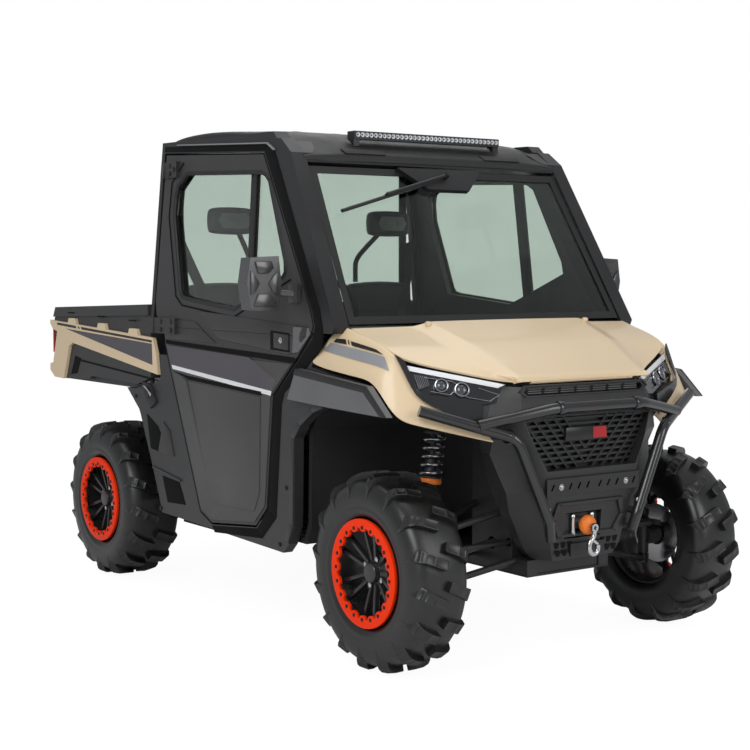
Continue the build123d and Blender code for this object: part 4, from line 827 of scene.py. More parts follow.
# ---------------------------------------------------------------- glass and wiper
# Laminated windscreen and rear pane in a faint green tint, bonded in: a black printed border
# round the front one and seals at the rear one's sides. The wiper's motor is at the top.
tinted_glass, glass_tree, glass_shader = bare_material("tinted_glass")
fill(glass_shader, Transmission_Weight=1.0, IOR=1.45, Specular_Tint=(0.3, 0.3, 0.3, 1))
glass_haze = node(glass_tree, "TexNoise", Scale=3)
glass_tones = ramp(glass_tree, (0.60, 0.67, 0.625), (0.66, 0.73, 0.68))
glass_rough = node(glass_tree, "MapRange", To_Min=0.0, To_Max=0.03)
wire(glass_tree, (node(glass_tree, "TexCoord").outputs["Object"], glass_haze.inputs["Vector"]),
     (glass_haze.outputs["Fac"], glass_tones.inputs["Fac"]),
     (glass_haze.outputs["Fac"], glass_rough.inputs["Value"]),
     (glass_tones.outputs["Color"], glass_shader.inputs["Base Color"]),
     (glass_rough.outputs[0], glass_shader.inputs["Roughness"]))
dress(tinted_glass, "windscreen", "rear_glass")
dress(satin_black, "wiper")
rear_low, rear_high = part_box("rear_glass")
rear_seals = [slab((rear_low.x - 0.002, side * rear_high.y - 0.020, rear_low.z - 0.010),
                   (rear_high.x + 0.002, side * rear_high.y + 0.020, rear_high.z + 0.010)) for side in both]
settle(rear_seals, "rear_glass_seals", satin_black, "chassis", bevel=0.002)

screen_seal = finish("screen_seal", (0.012, 0.012, 0.012), 0.5, 800, 0.2)
foot_half, top_half = 0.640, 0.592
foot = Vector((0.9005, 0, 1.1575))
top = Vector((0.5665, 0, 1.7225))
slope = (top - foot).normalized()
outward = Vector((slope.z, 0, -slope.x))
border_width = 0.030
corners = (  # outer corner, the way in from it up the glass, and the way in across it
    (foot + Vector((0, -foot_half, 0)), 1, 1), (foot + Vector((0, foot_half, 0)), 1, -1),
    (top + Vector((0, top_half, 0)), -1, -1), (top + Vector((0, -top_half, 0)), -1, 1))
outer = [corner + outward * 0.0012 for corner, _, _ in corners]
inner = [place + slope * border_width * up + Vector((0, border_width * across, 0))
         for place, (_, up, across) in zip(outer, corners)]
borders = [drawn([outer[here], outer[here - 3], inner[here - 3], inner[here]], outward * 0.0015)
           for here in range(4)]
settle(borders, "screen_border", screen_seal, "chassis")

# ---------------------------------------------------------------- body sides and flares
# Moulded grey-black panels screwed to the tub close each side from the bed to the front wheel
# arch. A paler flare bridges each front wheel: dark grey plastic, lightened as a painted sheen on
# its sloping faces. A black band of painted shade frames each door in its recessed gap.
side_grey = finish("side_grey", (0.029, 0.029, 0.030), 0.36, 1300, 0.3, drift=0.1)
# The flares' finish is partly their own dark grey and partly painted sheen, lightened for the light that
# their sloping faces catch.
flare_grey_and_sheen = finish("flare_grey_and_sheen", (0.128, 0.128, 0.130), 0.42, 1300, 0.3, drift=0.08)
shadow_black = finish("shadow_black", (0.006, 0.006, 0.006), 0.7, 900, 0.2, drift=0.1, glint=0.12)
gloss_black = finish("gloss_black", (0.012, 0.012, 0.013), 0.22, 700, 0.08, drift=0.1, coat=0.5)
dress(side_grey, "side_panels")
dress(moulded_black, "door_surrounds", "fender_liners")
dress(flare_grey_and_sheen, "fender_flares")


sill_z, sill_half = 0.280, 0.700
waist_z, waist_half = 1.115, 0.712
eave_z, eave_half = 1.875, 0.645


def skin(along, up, side, lift=0.0):
    """A point on the body side, lifted off it across the vehicle."""
    if up < waist_z:
        half = sill_half + (waist_half - sill_half) * (up - sill_z) / (waist_z - sill_z)
    else:
        half = waist_half + (eave_half - waist_half) * (up - waist_z) / (eave_z - waist_z)
    return Vector((along, side * (half + lift), up))


def side_plate(outline, side, lift, depth):
    """A plate on the body side, drawn corner by corner, with its face lifted off the skin."""
    return drawn([skin(along, up, side, lift - depth) for along, up in outline], (0, side * depth, 0))


def side_plates(rows, sides=both):
    """Plates on each side, one for each row of an outline, a lift and a depth."""
    return [side_plate(outline, side, lift, depth) for side in sides for outline, lift, depth in rows]


arch = ((0.848, 0.869), (0.778, 0.847), (0.697, 0.795), (0.652, 0.742), (0.636, 0.426), (0.601, 0.357))
arch_rim = ((0.822, 0.884), (0.758, 0.864), (0.672, 0.806), (0.624, 0.748), (0.610, 0.436), (0.580, 0.372))
lips = side_plates([((arch[step], arch[step + 1], arch_rim[step + 1], arch_rim[step]), 0.004, 0.008)
                    for step in range(len(arch) - 1)])
settle(lips, "arch_lips", side_grey, "chassis", bevel=0.002)
for name, material, bevel, rows in (
    ("quarter_pads", side_grey, 0.0025, (
        (((-0.352, 0.725), (-0.298, 0.690), (-0.262, 0.588), (-0.402, 0.592)), 0.0045, 0.008),
        (((-0.455, 0.520), (-0.212, 0.490), (-0.206, 0.500), (-0.455, 0.532)), 0.006, 0.010))),
    # Painted shade: near-black plates in the recessed quarter pockets.
    ("quarter_pocket_shade", shadow_black, 0.001, (
        (((-0.372, 0.498), (-0.226, 0.487), (-0.176, 0.400), (-0.330, 0.392)), 0.002, 0.006),
        (((-0.500, 0.745), (-0.402, 0.700), (-0.345, 0.632), (-0.410, 0.596), (-0.470, 0.602)),
         0.002, 0.006))),
):
    settle(side_plates(rows), name, material, "chassis", bevel=bevel)
screws = [stud(skin(along, up, side, -0.001), (0, side, 0), 0.008, 0.005, sides=18) for side in both
          for along, up in ((-0.600, 0.812), (-0.390, 0.360), (0.540, 0.345), (0.700, 0.905),
                            (-0.560, 0.700), (0.590, 0.560))]
settle(screws, "panel_screws", bolt_black, "chassis")

catch = side_plates((
    (((-0.530, 0.880), (-0.452, 0.872), (-0.400, 0.800), (-0.455, 0.770)), 0.010, 0.016),
    (((-0.505, 0.862), (-0.462, 0.856), (-0.440, 0.822), (-0.476, 0.812)), 0.018, 0.010)), (-1,))
settle(catch, "service_catch", moulded_black, "chassis", bevel=0.003)
catch_plate = side_plate(((-0.498, 0.866), (-0.470, 0.864), (-0.418, 0.834), (-0.424, 0.822),
                          (-0.452, 0.846)), -1, 0.022, 0.003)
settle(catch_plate, "service_catch_plate", bright_steel, "chassis", bevel=0.001)

# Painted shade: the door bands and the plates behind each door's rear edge are near-black plates in the
# recessed gaps round the door, where its seal lies in shadow.
for name, material, slot, rows in (
    ("door_gap_shade_bands", shadow_black, "rubber_trim", (
        (((0.845, 1.136), (0.838, 1.080), (0.740, 1.002), (0.686, 1.024), (0.780, 1.106), (0.794, 1.150)),
         0.0020, 0.008),
        (((0.740, 1.002), (0.590, 0.905), (0.570, 0.860), (0.524, 0.888), (0.686, 1.024)), 0.0020, 0.008),
        (((0.570, 0.860), (0.520, 0.440), (0.466, 0.462), (0.524, 0.888)), 0.0020, 0.008),
        (((0.520, 0.440), (0.418, 0.350), (0.380, 0.382), (0.466, 0.462)), 0.0020, 0.008),
        (((0.418, 0.350), (0.060, 0.322), (0.038, 0.346), (0.380, 0.382)), 0.0020, 0.008),
        (((-0.425, 1.851), (0.398, 1.809), (0.370, 1.787), (-0.425, 1.829)), 0.0025, 0.006),
        (((0.398, 1.809), (0.440, 1.786), (0.815, 1.210), (0.845, 1.136), (0.794, 1.150), (0.768, 1.208),
          (0.370, 1.787)), 0.0025, 0.006))),
    ("door_rear_gap_shade", shadow_black, "rubber_trim", (
        (((-0.445, 1.190), (-0.300, 1.165), (-0.290, 1.030), (-0.360, 1.030), (-0.445, 1.100)),
         -0.054, 0.004),
        (((-0.444, 1.805), (-0.394, 1.800), (-0.396, 1.190), (-0.444, 1.130)), -0.054, 0.004))),
    ("drip_rails", pad_grey, "grey_plastic", (
        (((-0.310, 1.853), (0.392, 1.816), (0.446, 1.789), (0.443, 1.784), (0.390, 1.811),
          (-0.310, 1.848)), 0.0095, 0.010),)),
):
    settle(side_plates(rows), name, material, "chassis", bevel=0.001)
# Painted shade: a near-black plate in the gap under each door's bottom edge.
sill_shades = [slab((-0.300, side * 0.640 - 0.006, 0.310), (0.480, side * 0.640 + 0.006, 0.420)) for side in both]
settle(sill_shades, "sill_gap_shade", shadow_black, "chassis", bevel=0.002)
chamfers = [drawn([(along, side * 0.738, up) for along, up in outline], (0, side * 0.006, 0))
            for side in both for outline in (
                ((0.714, 1.001), (1.148, 0.966), (1.130, 0.943), (0.700, 0.978)),
                ((1.148, 0.966), (1.260, 0.869), (1.228, 0.868), (1.130, 0.943)))]
settle(chamfers, "flare_chamfers", moulded_black, "chassis", bevel=0.002)

# ---------------------------------------------------------------- hood and cowl
# Gloss tan mouldings: a lid hinged at its nose, and a cowl that wraps each front fender and
# carries a black and silver decal. A ribbed black vent closes the cowl at the windscreen.
tan_gloss = finish("tan_gloss", (0.78, 0.610, 0.395), 0.32, 900, 0.02, drift=0.012, coat=0.3,
                   spread_rough=0.01)
decal_black = finish("decal_black", (0.012, 0.012, 0.012), 0.3, 500, 0.04, drift=0.1)
decal_silver = finish("decal_silver", (0.34, 0.35, 0.37), 0.32, 500, 0.04, metallic=0.3, drift=0.06)
dress(moulded_black, "cowl_panel")

cowl_columns = (  # upper edge, lower edge, from the windscreen post round the lamp to the nose
    ((0.775, 0.704, 1.032), (0.775, 0.706, 1.022)),
    ((0.870, 0.655, 1.170), (0.815, 0.706, 1.011)),
    ((0.940, 0.652, 1.140), (0.930, 0.706, 0.998)),
    ((1.040, 0.645, 1.116), (1.040, 0.706, 0.989)),
    ((1.112, 0.639, 1.092), (1.110, 0.705, 0.982)),
    ((1.152, 0.637, 1.070), (1.150, 0.702, 0.960)),
    ((1.172, 0.629, 1.049), (1.186, 0.697, 0.922)),
    ((1.190, 0.620, 1.020), (1.222, 0.690, 0.882)),
    ((1.222, 0.610, 0.970), (1.252, 0.668, 0.852)),
    ((1.247, 0.600, 0.930), (1.280, 0.620, 0.838)),
    ((1.292, 0.500, 0.872), (1.340, 0.505, 0.809)),
    ((1.345, 0.400, 0.824), (1.392, 0.400, 0.784)),
)
columns_beside_hood = 7
cowl_bulge = 0.006


def on_cowl(place, share, side):
    """A point on the cowl: place counts along its columns, share runs down from its upper edge."""
    column = min(int(place), len(cowl_columns) - 2)
    upper, lower = (Vector(here).lerp(Vector(ahead), place - column)
                    for here, ahead in zip(cowl_columns[column], cowl_columns[column + 1]))
    spot = upper.lerp(lower, share)
    return Vector((spot.x, side * (spot.y + cowl_bulge * sin(pi * min(max(share, 0), 1))), spot.z))


cowl_skins = []
for side in both:
    tucked = [Vector((x, side * (y - (0.034 if number < columns_beside_hood else 0.010)),
                      z - (0.022 if number < columns_beside_hood else 0.0)))
              for number, ((x, y, z), _) in enumerate(cowl_columns)]
    rows = [tucked] + [[on_cowl(number, share, side) for number in range(len(cowl_columns))]
                       for share in (0.0, 0.03, 0.30, 0.68, 1.0)]
    cowl_skins.append(moulding([row[::-1] for row in rows] if side < 0 else rows, 0.006))
cowl_skin = settle(cowl_skins, "cowl_skins", tan_gloss, "chassis", smooth=50)
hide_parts("cowl_sides")


def laid_on(corners, base, lift, wall):
    """A thin film between four corners, set off its curved base and pressed onto it."""
    start_up, end_up, end_low, start_low = corners
    film = grid_of([[start_up.lerp(end_up, along / 14).lerp(start_low.lerp(end_low, along / 14), down / 4)
                     + Vector((0, 0.018 if start_up.y > 0 else -0.018, 0.004))
                     for along in range(15)] for down in range(5)])
    worked(film, "SHRINKWRAP", target=base, wrap_mode="OUTSIDE_SURFACE", offset=lift)
    worked(film, "SOLIDIFY", thickness=wall, offset=0)
    return film


for name, material, slot, lift, outlines in (
    ("cowl_decal_silver", decal_silver, "grey_plastic", 0.0028, (
        ((1.10, 0.44), (4.65, 0.14), (5.99, 0.27), (0.87, 0.60)),)),
    ("cowl_decal_black", decal_black, "black_plastic", 0.0040, (
        ((2.20, 0.20), (3.70, 0.12), (4.45, 0.12), (2.32, 0.29)),
        ((1.35, 0.31), (1.89, 0.22), (2.05, 0.31), (1.27, 0.40)),
        ((2.02, 0.20), (2.08, 0.20), (2.22, 0.29), (2.15, 0.29)))),
):
    films = [laid_on([on_cowl(place, share, side) for place, share in outline], cowl_skin, lift, 0.0008)
             for side in both for outline in outlines]
    settle(films, name, material, "chassis")

hood_stations = (  # x, crown y and z, foot y and z, fold y and z
    (0.985, 0.356, 1.166, 0.414, 1.143, 0.645, 1.126),
    (1.000, 0.354, 1.161, 0.412, 1.138, 0.644, 1.121),
    (1.080, 0.344, 1.132, 0.405, 1.112, 0.638, 1.102),
    (1.153, 0.333, 1.104, 0.397, 1.084, 0.632, 1.071),
    (1.179, 0.330, 1.094, 0.392, 1.072, 0.600, 1.046),
    (1.255, 0.318, 1.056, 0.363, 1.037, 0.468, 1.013),
    (1.331, 0.305, 1.016, 0.326, 1.000, 0.337, 0.982),
    (1.380, 0.290, 0.995, 0.302, 0.990, 0.314, 0.982),
    (1.391, 0.287, 0.989, 0.299, 0.985, 0.311, 0.979),
    (1.394, 0.285, 0.974, 0.297, 0.973, 0.309, 0.971),
)
sections = [[(along, across, up) for across, up in (
    (0.0, crown_z + 0.002), (crown_y * 0.5, crown_z + 0.0015), (crown_y - 0.012, crown_z + 0.0005),
    (crown_y, crown_z), (foot_y, foot_z), (foot_y + 0.012, foot_z - 0.001),
    ((foot_y + fold_y) / 2, (foot_z + fold_z) / 2), (fold_y - 0.010, fold_z + 0.001), (fold_y, fold_z))]
    for along, crown_y, crown_z, foot_y, foot_z, fold_y, fold_z in hood_stations]
corner_start, corner_end, corner_back = 0.38, 0.604, 0.062  # rear corners that reach the posts
for number, (along, across, up) in enumerate(sections[0]):
    if across > corner_start:
        share = min((across - corner_start) / (corner_end - corner_start), 1.0)
        sections[0][number] = (along - share * corner_back, across, max(up, 1.146 + (0.651 - across) * 0.02))
hinge_pin = rod(0.007, 0.472, (1.385, 0, 0.972), (pi / 2, 0, 0))
hood_skin = settle([moulding(mirrored(list(zip(*sections))), 0.007), hinge_pin], "hood_skin", tan_gloss,
                   "hood", smooth=50)
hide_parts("hood")

cowl_low, cowl_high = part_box("cowl_panel")
cowl_slats = slab_row((cowl_low.x + 0.044, -0.446, cowl_high.z - 0.010),
                      (cowl_high.x - 0.010, -0.434, cowl_high.z + 0.001), (0, 0.0419, 0), 22)
settle(cowl_slats, "cowl_slats", moulded_black, "chassis", bevel=0.001)
hood_bumpers = [slab((0.992, side * 0.372 - 0.011, 1.150), (1.010, side * 0.372 + 0.011, 1.168))
                for side in both]
settle(hood_bumpers, "hood_bumpers", tan_gloss, "hood", bevel=0.006)

# ---------------------------------------------------------------- fascia and grille
# One textured black moulding fills the nose round the lamps, held by studs. A pressed mesh
# grille with a blank badge plate sits in it, and a slatted vent runs under the lid.
fascia_black = finish("fascia_black", (0.022, 0.022, 0.023), 0.38, 1500, 0.4, drift=0.1)
grille_black = finish("grille_black", (0.020, 0.020, 0.021), 0.34, 900, 0.15, drift=0.1)
dress(fascia_black, "front_fascia")
dress(grille_black, "grille")
nose_lean = 0.125

vent_slats = [part for up in (0.9325, 0.9400, 0.9475) for part in
              slab_row((1.388, -0.253, up), (1.3955, -0.191, up + 0.0034), (0, 0.074, 0), 7)]
settle(vent_slats, "vent_slats", flare_grey_and_sheen, "chassis", bevel=0.0006)


def mitred(outline, nose_x, middle_up, narrow, lower, deep):
    """A frame of strips round an outline on the nose; narrow and lower draw in its inner edge."""
    inner = [(across * narrow, middle_up + (up - middle_up) * lower) for across, up in outline]
    return [drawn([(nose_x(up), across, up) for across, up in
                   (outline[here - 1], outline[here], inner[here], inner[here - 1])], (deep, 0, 0))
            for here in range(len(outline))]


vent_outline = ((0.275, 0.921), (0.296, 0.941), (0.280, 0.962), (-0.280, 0.962), (-0.296, 0.941),
                (-0.275, 0.921))
vent_frame = mitred(vent_outline, lambda up: 1.3925, 0.941, 0.975, 0.70, 0.014)
settle(vent_frame, "vent_frame", fascia_black, "chassis", bevel=0.0015)

badge = pane(1.402, ((-0.094, 0.812), (0.094, 0.812), (0.098, 0.766), (-0.098, 0.766)), 0.010)
badge_red = finish("badge_red", (0.45, 0.012, 0.014), 0.3, 600, 0.05, drift=0.06, coat=0.3)
settle(badge, "badge_plate", decal_black, "chassis", bevel=0.003)
badge_field = pane(1.412, ((0.030, 0.808), (0.090, 0.808), (0.094, 0.770), (0.030, 0.770)), 0.0012)
settle(badge_field, "badge_field", badge_red, "chassis")

window_outline = ((-0.150, 0.560), (0.150, 0.560), (0.172, 0.500), (0.135, 0.436), (-0.135, 0.436),
                  (-0.172, 0.500))
window_frame = mitred(window_outline, lambda up: 1.4130 + (up - 0.441) * nose_lean, 0.495, 0.86, 0.80,
                      0.010)
settle(window_frame, "winch_window", fascia_black, "chassis", bevel=0.003)
# The fascia's rows of holes are near-black plates of painted shade.
drains = [drawn([(1.4125 + rise * nose_lean, side * (across + place), up + rise) for place, rise in
                 ((0.0, 0.010), (0.023, 0.010), (0.016, -0.010), (0.003, -0.010))], (0.0018, 0, 0))
          for side in both for up, start in ((0.410, 0.066), (0.382, 0.060))
          for across in (start, start + 0.030, start + 0.060)]
settle(drains, "fascia_drains", shadow_black, "chassis")
nose_studs = [stud((along, side * across, up), (1, 0, 0), 0.007, 0.004, sides=18) for side in both
              for along, across, up in ((1.4235, 0.300, 0.700), (1.405, 0.262, 0.640),
                                        (1.416, 0.150, 0.560))]
settle(nose_studs, "fascia_studs", bolt_black, "chassis")

# ---------------------------------------------------------------- headlamps
# A smoked housing in each corner of the nose, with a white running strip along its upper
# edge, two projector cups in bright rings and a ribbed reflector at its outer end.
lamp_black = finish("lamp_black", (0.009, 0.009, 0.010), 0.14, 400, 0.03, drift=0.3, coat=0.9)
lamp_white = finish("lamp_white", (0.88, 0.89, 0.90), 0.18, 300, 0.03, drift=0.03, coat=0.6)
lamp_chrome = finish("lamp_chrome", (0.42, 0.43, 0.45), 0.14, 300, 0.03, metallic=1.0, drift=0.08)
lens_clear = finish("lens_clear", (0.045, 0.05, 0.055), 0.05, 200, 0.01, drift=0.2, coat=1.0)
dress(lamp_black, "headlamps")
lamp_top = (Vector((1.354, 0.304, 0.962)), Vector((1.187, 0.600, 1.026)))
lamp_foot = (Vector((1.357, 0.330, 0.905)), Vector((1.247, 0.600, 0.934)))
lamp_out = Vector((0.849, 0.406, 0.339))


def on_lamp(u, v, side, lift=0.0):
    """A point on the lamp face: u runs outboard from the nose, v runs down from the top edge."""
    place = lamp_top[0].lerp(lamp_top[1], u).lerp(lamp_foot[0].lerp(lamp_foot[1], u), v) + lamp_out * lift
    return Vector((place.x, side * place.y, place.z))


def welts_along(spots, place, radius):
    """Welts from each spot to the next, where place turns a pair of measures into a point."""
    return [welt([place(u, v), place((u + next_u) / 2, (v + next_v) / 2), place(next_u, next_v)], radius)
            for (u, v), (next_u, next_v) in zip(spots, spots[1:])]


bezel_outer = ((5.26, 0.0), (6.24, 0.03), (7.57, 0.08), (8.62, 0.13), (9.30, 0.13), (10.10, 0.10),
               (10.90, 0.04))
bezel_inner = ((1.176, 0.612, 1.046), (1.182, 0.606, 1.032), (1.212, 0.604, 0.985), (1.238, 0.602, 0.948),
               (1.256, 0.585, 0.935), (1.292, 0.500, 0.918), (1.336, 0.400, 0.897))
strips, cup_rings, lenses, lines, reflectors, bezels = [], [], [], [], [], []
for side in both:
    face_out = Vector((lamp_out.x, side * lamp_out.y, lamp_out.z))
    strips.append(drawn([on_lamp(0.03, 0.00, side), on_lamp(1.03, -0.04, side), on_lamp(1.0, 0.15, side),
                         on_lamp(0.10, 0.26, side)], face_out * 0.004))
    for u, v, size in ((0.70, 0.52, 0.023), (0.48, 0.58, 0.025)):
        seat = on_lamp(u, v, side)
        cup_rings.append(turned(((size, -0.004), (size + 0.002, 0.003), (size, 0.006), (size - 0.004, 0.005),
                                 (size - 0.006, -0.002), (size - 0.006, -0.004)), seat, face_out, steps=40))
        lenses.append(turned(((0.0, 0.008), (size * 0.3, 0.0075), (size * 0.55, 0.0055), (size * 0.72, 0.002),
                              (size * 0.72, -0.003), (0.0, -0.003)), seat, face_out, steps=36))
    for spots in (((0.86, 0.30), (0.58, 0.28), (0.50, 0.42)), ((0.84, 0.80), (0.62, 0.86)),
                  ((0.62, 0.86), (0.58, 0.72), (0.40, 0.90), (0.16, 0.98), (0.06, 0.60), (0.30, 0.40))):
        lines += welts_along(spots, lambda u, v: on_lamp(u, v, side, 0.002), 0.0016)
    for step in range(7):
        u = 0.965 - step * 0.020
        reflectors.append(drawn([on_lamp(u, 0.26 - step * 0.004, side), on_lamp(u - 0.008, 0.26, side),
                                 on_lamp(u - 0.008, 0.78 - step * 0.03, side),
                                 on_lamp(u, 0.76 - step * 0.03, side)], face_out * 0.003))
    border = [[on_cowl(place, share, side) + face_out * 0.005 for place, share in bezel_outer],
              [Vector((x, side * y, z)) + face_out * 0.007 for x, y, z in bezel_inner]]
    bezels.append(moulding(border if side > 0 else [row[::-1] for row in border], 0.006, levels=1))
settle(strips, "lamp_strips", lamp_white, "chassis", bevel=0.0012)
settle(cup_rings, "lamp_rings", lamp_chrome, "chassis", smooth=50)
settle(lenses, "lamp_lenses", lens_clear, "chassis", smooth=60)
settle(lines, "lamp_lines", lamp_chrome, "chassis", smooth=60)
settle(reflectors, "lamp_reflectors", lamp_chrome, "chassis")
settle(bezels, "lamp_bezels", gloss_black, "chassis", smooth=60)

# ---------------------------------------------------------------- bumper and bash plate
# Bent steel tube in satin black, with clamp collars on its top rail. A slotted steel plate
# and the skid lip are bolted between its legs.
tube_black = finish("tube_black", (0.014, 0.014, 0.015), 0.22, 700, 0.08, drift=0.08, coat=0.5)
dress(tube_black, "front_bumper")
dress(powder_coat, "bumper_skid")
collars = [turned(((0.019, -0.014), (0.0225, -0.013), (0.0235, -0.010), (0.0235, 0.010), (0.0225, 0.013),
                   (0.019, 0.014)), place, axis, steps=36)
           for side in both for place, axis in (((1.471, side * 0.176, 0.888), (0, 1, 0)),
                                                ((1.428, side * 0.365, 0.800), (0.86, side, -0.3)))]
settle(collars, "bumper_collars", gloss_black, "chassis", smooth=50)
plate_bolts = [turned(((0.0, 0.0), (0.011, 0.0), (0.011, 0.0015), (0.0075, 0.002), (0.0075, 0.005),
                       (0.005, 0.0075), (0.0, 0.008)), (1.451, side * 0.150, 0.617), (1, 0, 0), steps=24)
               for side in both]
plate_bolts += [stud((1.4395 + (up - 0.47) * 0.13, side * 0.207, up), (1, 0, 0), 0.008, 0.005)
                for side in both for up in (0.545, 0.470)]
settle(plate_bolts, "bumper_bolts", zinc_bolt, "chassis", smooth=50)

# ---------------------------------------------------------------- winch
# A planetary winch behind a roller fairlead: black cheeks and drum, bright rollers, a grey
# rope, an orange rubber stopper and a bright hook with its latch.
winch_y, winch_z = -0.020, 0.476
winch_parts = [slab((1.340, winch_y + side * 0.066, 0.437), (1.404, winch_y + side * 0.076, 0.513))
               for side in both]
for near, far, low, high in ((-0.076, 0.076, 0.500, 0.514), (-0.076, 0.076, 0.436, 0.450),
                             (-0.076, -0.030, 0.450, 0.500), (0.030, 0.076, 0.450, 0.500)):
    winch_parts.append(slab((1.399, winch_y + near, low), (1.407, winch_y + far, high)))
winch_parts.append(turned(((0.0, -0.066), (0.030, -0.066), (0.031, -0.060), (0.031, -0.040), (0.022, -0.038),
                           (0.022, 0.038), (0.031, 0.040), (0.031, 0.060), (0.030, 0.066), (0.0, 0.066)),
                          (1.360, winch_y, winch_z), (0, 1, 0), steps=36))
winch_body = settle(winch_parts, "winch_body", powder_coat, "chassis", bevel=0.0012)
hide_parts("winch")
rollers = [turned(((0.0, -0.037), (0.006, -0.037), (0.009, -0.033), (0.0085, -0.02), (0.0078, 0.0),
                   (0.0085, 0.02), (0.009, 0.033), (0.006, 0.037), (0.0, 0.037)),
                  (1.415, winch_y + side * 0.044, winch_z), (0, 0, 1), steps=28) for side in both]
settle(rollers, "fairlead_rollers", bright_steel, "chassis", smooth=50)
rope_grey = finish("rope_grey", (0.20, 0.20, 0.21), 0.7, 900, 0.7, drift=0.2, stretch=(1, 6, 6))
rope_pitch = 0.0082
rope = []
for step in range(9):
    start_y = winch_y - 0.037 + step * rope_pitch
    rope.append(stood(coil(0.025, 0.0040, rope_pitch, 1), (1.360, start_y, winch_z),
                      (1.360, start_y + 0.008, winch_z)))
rope.append(rod(0.004, 0.110, (1.413, winch_y, winch_z), (0, pi / 2, 0), 14))
settle(rope, "winch_rope", rope_grey, "chassis", smooth=60)
stopper = turned(((0.005, 0.0), (0.022, 0.0), (0.031, 0.004), (0.034, 0.010), (0.034, 0.018),
                  (0.030, 0.026), (0.020, 0.033), (0.009, 0.036), (0.005, 0.036)),
                 (1.428, winch_y, winch_z), (1, 0, 0), steps=40)
settle(stopper, "hook_stopper", preload_orange, "chassis", bevel=0.0008, smooth=45)
hook = welt([(1.474, winch_y + across, up) for across, up in (
    (0.0, 0.462), (0.002, 0.448), (-0.004, 0.436), (-0.017, 0.424), (-0.023, 0.406), (-0.018, 0.388),
    (-0.004, 0.378), (0.012, 0.382), (0.020, 0.396), (0.018, 0.410))], 0.0090)
hook_eye = turned(((0.007, -0.007), (0.014, -0.007), (0.017, 0.0), (0.014, 0.007), (0.007, 0.007),
                   (0.004, 0.0)), (1.474, winch_y, 0.470), (1, 0, 0), steps=24)
hook_latch = pane(1.470, [(winch_y + across, up) for across, up in (
    (-0.012, 0.426), (0.016, 0.408), (0.020, 0.414), (-0.006, 0.434))], 0.007)
settle([hook, hook_eye, hook_latch], "winch_hook", bright_steel, "chassis", smooth=60)

# ---------------------------------------------------------------- doors
# Moulded black doors hung at their rear edge on two bolted steel hinges. The lower skin is
# grey, with a folded panel and a stripe. Each has a flush latch, sliding glass and a mirror.
door_black = finish("door_black", (0.034, 0.033, 0.034), 0.36, 1400, 0.35, drift=0.08)
door_grey = finish("door_grey", (0.064, 0.063, 0.062), 0.36, 1400, 0.3, drift=0.06)
band_violet = finish("band_violet", (0.078, 0.072, 0.082), 0.34, 500, 0.05, drift=0.06)
band_silver = finish("band_silver", (0.82, 0.82, 0.84), 0.3, 400, 0.04, drift=0.03)
mirror_shell = finish("mirror_shell", (0.10, 0.10, 0.102), 0.26, 900, 0.15, metallic=0.5, drift=0.1,
                      coat=0.3)
mirror_silver = finish("mirror_silver", (0.85, 0.86, 0.87), 0.06, 200, 0.01, metallic=1.0, drift=0.03)
door_plates = (  # name, finish, slot, bevel, plates as outline, lift and depth
    ("lower_skin", door_grey, "grey_plastic", 0.002, (
        (((-0.296, 1.018), (-0.044, 0.405), (0.040, 0.370), (0.366, 0.404), (0.442, 0.474), (0.498, 0.892),
          (0.640, 1.012)), 0.004, 0.010),)),
    ("shoulder_shadow", shadow_black, "black_plastic", 0, (
        (((-0.318, 1.062), (0.660, 1.036), (0.672, 1.026), (0.655, 1.014), (-0.312, 1.047)),
         0.0015, 0.006),)),
    ("fold_shadow", shadow_black, "black_plastic", 0, (
        (((-0.255, 0.938), (-0.128, 0.926), (0.436, 0.900), (0.436, 0.884), (-0.112, 0.910)),
         0.0055, 0.008),)),
    ("band", band_violet, "grey_plastic", 0, (
        (((-0.304, 1.042), (0.350, 1.022), (0.540, 0.948), (0.506, 0.905), (-0.259, 0.962)),
         0.0048, 0.001),)),
    ("stripe", band_silver, "grey_plastic", 0, (
        (((-0.262, 0.963), (0.507, 0.906), (0.502, 0.889), (-0.254, 0.947)), 0.0052, 0.001),)),
    ("belt_panel", door_black, "black_plastic", 0.0025, (
        (((-0.040, 1.186), (0.744, 1.148), (0.742, 1.115), (0.073, 1.115)), 0.006, 0.010),
        (((0.073, 1.115), (0.742, 1.115), (0.690, 1.062), (0.628, 1.046), (0.128, 1.084)), 0.006, 0.010),
        (((-0.345, 1.150), (-0.064, 1.142), (-0.010, 1.115), (-0.325, 1.115)), 0.005, 0.009),
        (((-0.325, 1.115), (-0.010, 1.115), (0.100, 1.064), (-0.312, 1.068)), 0.005, 0.009))),
    # Painted shade: the latch pocket is a near-black plate behind the paddle.
    ("latch_pocket", shadow_black, "black_plastic", 0.001, (
        (((0.508, 1.128), (0.640, 1.122), (0.639, 1.053), (0.509, 1.058)), 0.0075, 0.008),)),
    ("latch_paddle", door_black, "black_plastic", 0.003, (
        (((0.534, 1.121), (0.634, 1.116), (0.633, 1.060), (0.534, 1.066)), 0.0105, 0.006),)),
)
window_opening = (
    (-0.222, 1.733), (-0.296, 1.684), (-0.309, 1.640), (-0.309, 1.567), (-0.214, 1.262), (-0.196, 1.240),
    (-0.150, 1.231), (0.223, 1.197), (0.558, 1.322), (0.571, 1.340), (0.565, 1.375), (0.415, 1.676),
    (0.390, 1.696), (0.358, 1.708), (0.264, 1.713), (-0.222, 1.733))
window_groove = ((-0.255, 1.775), (-0.345, 1.700), (-0.350, 1.560), (-0.245, 1.240), (-0.190, 1.205),
                 (0.225, 1.168), (0.610, 1.312))
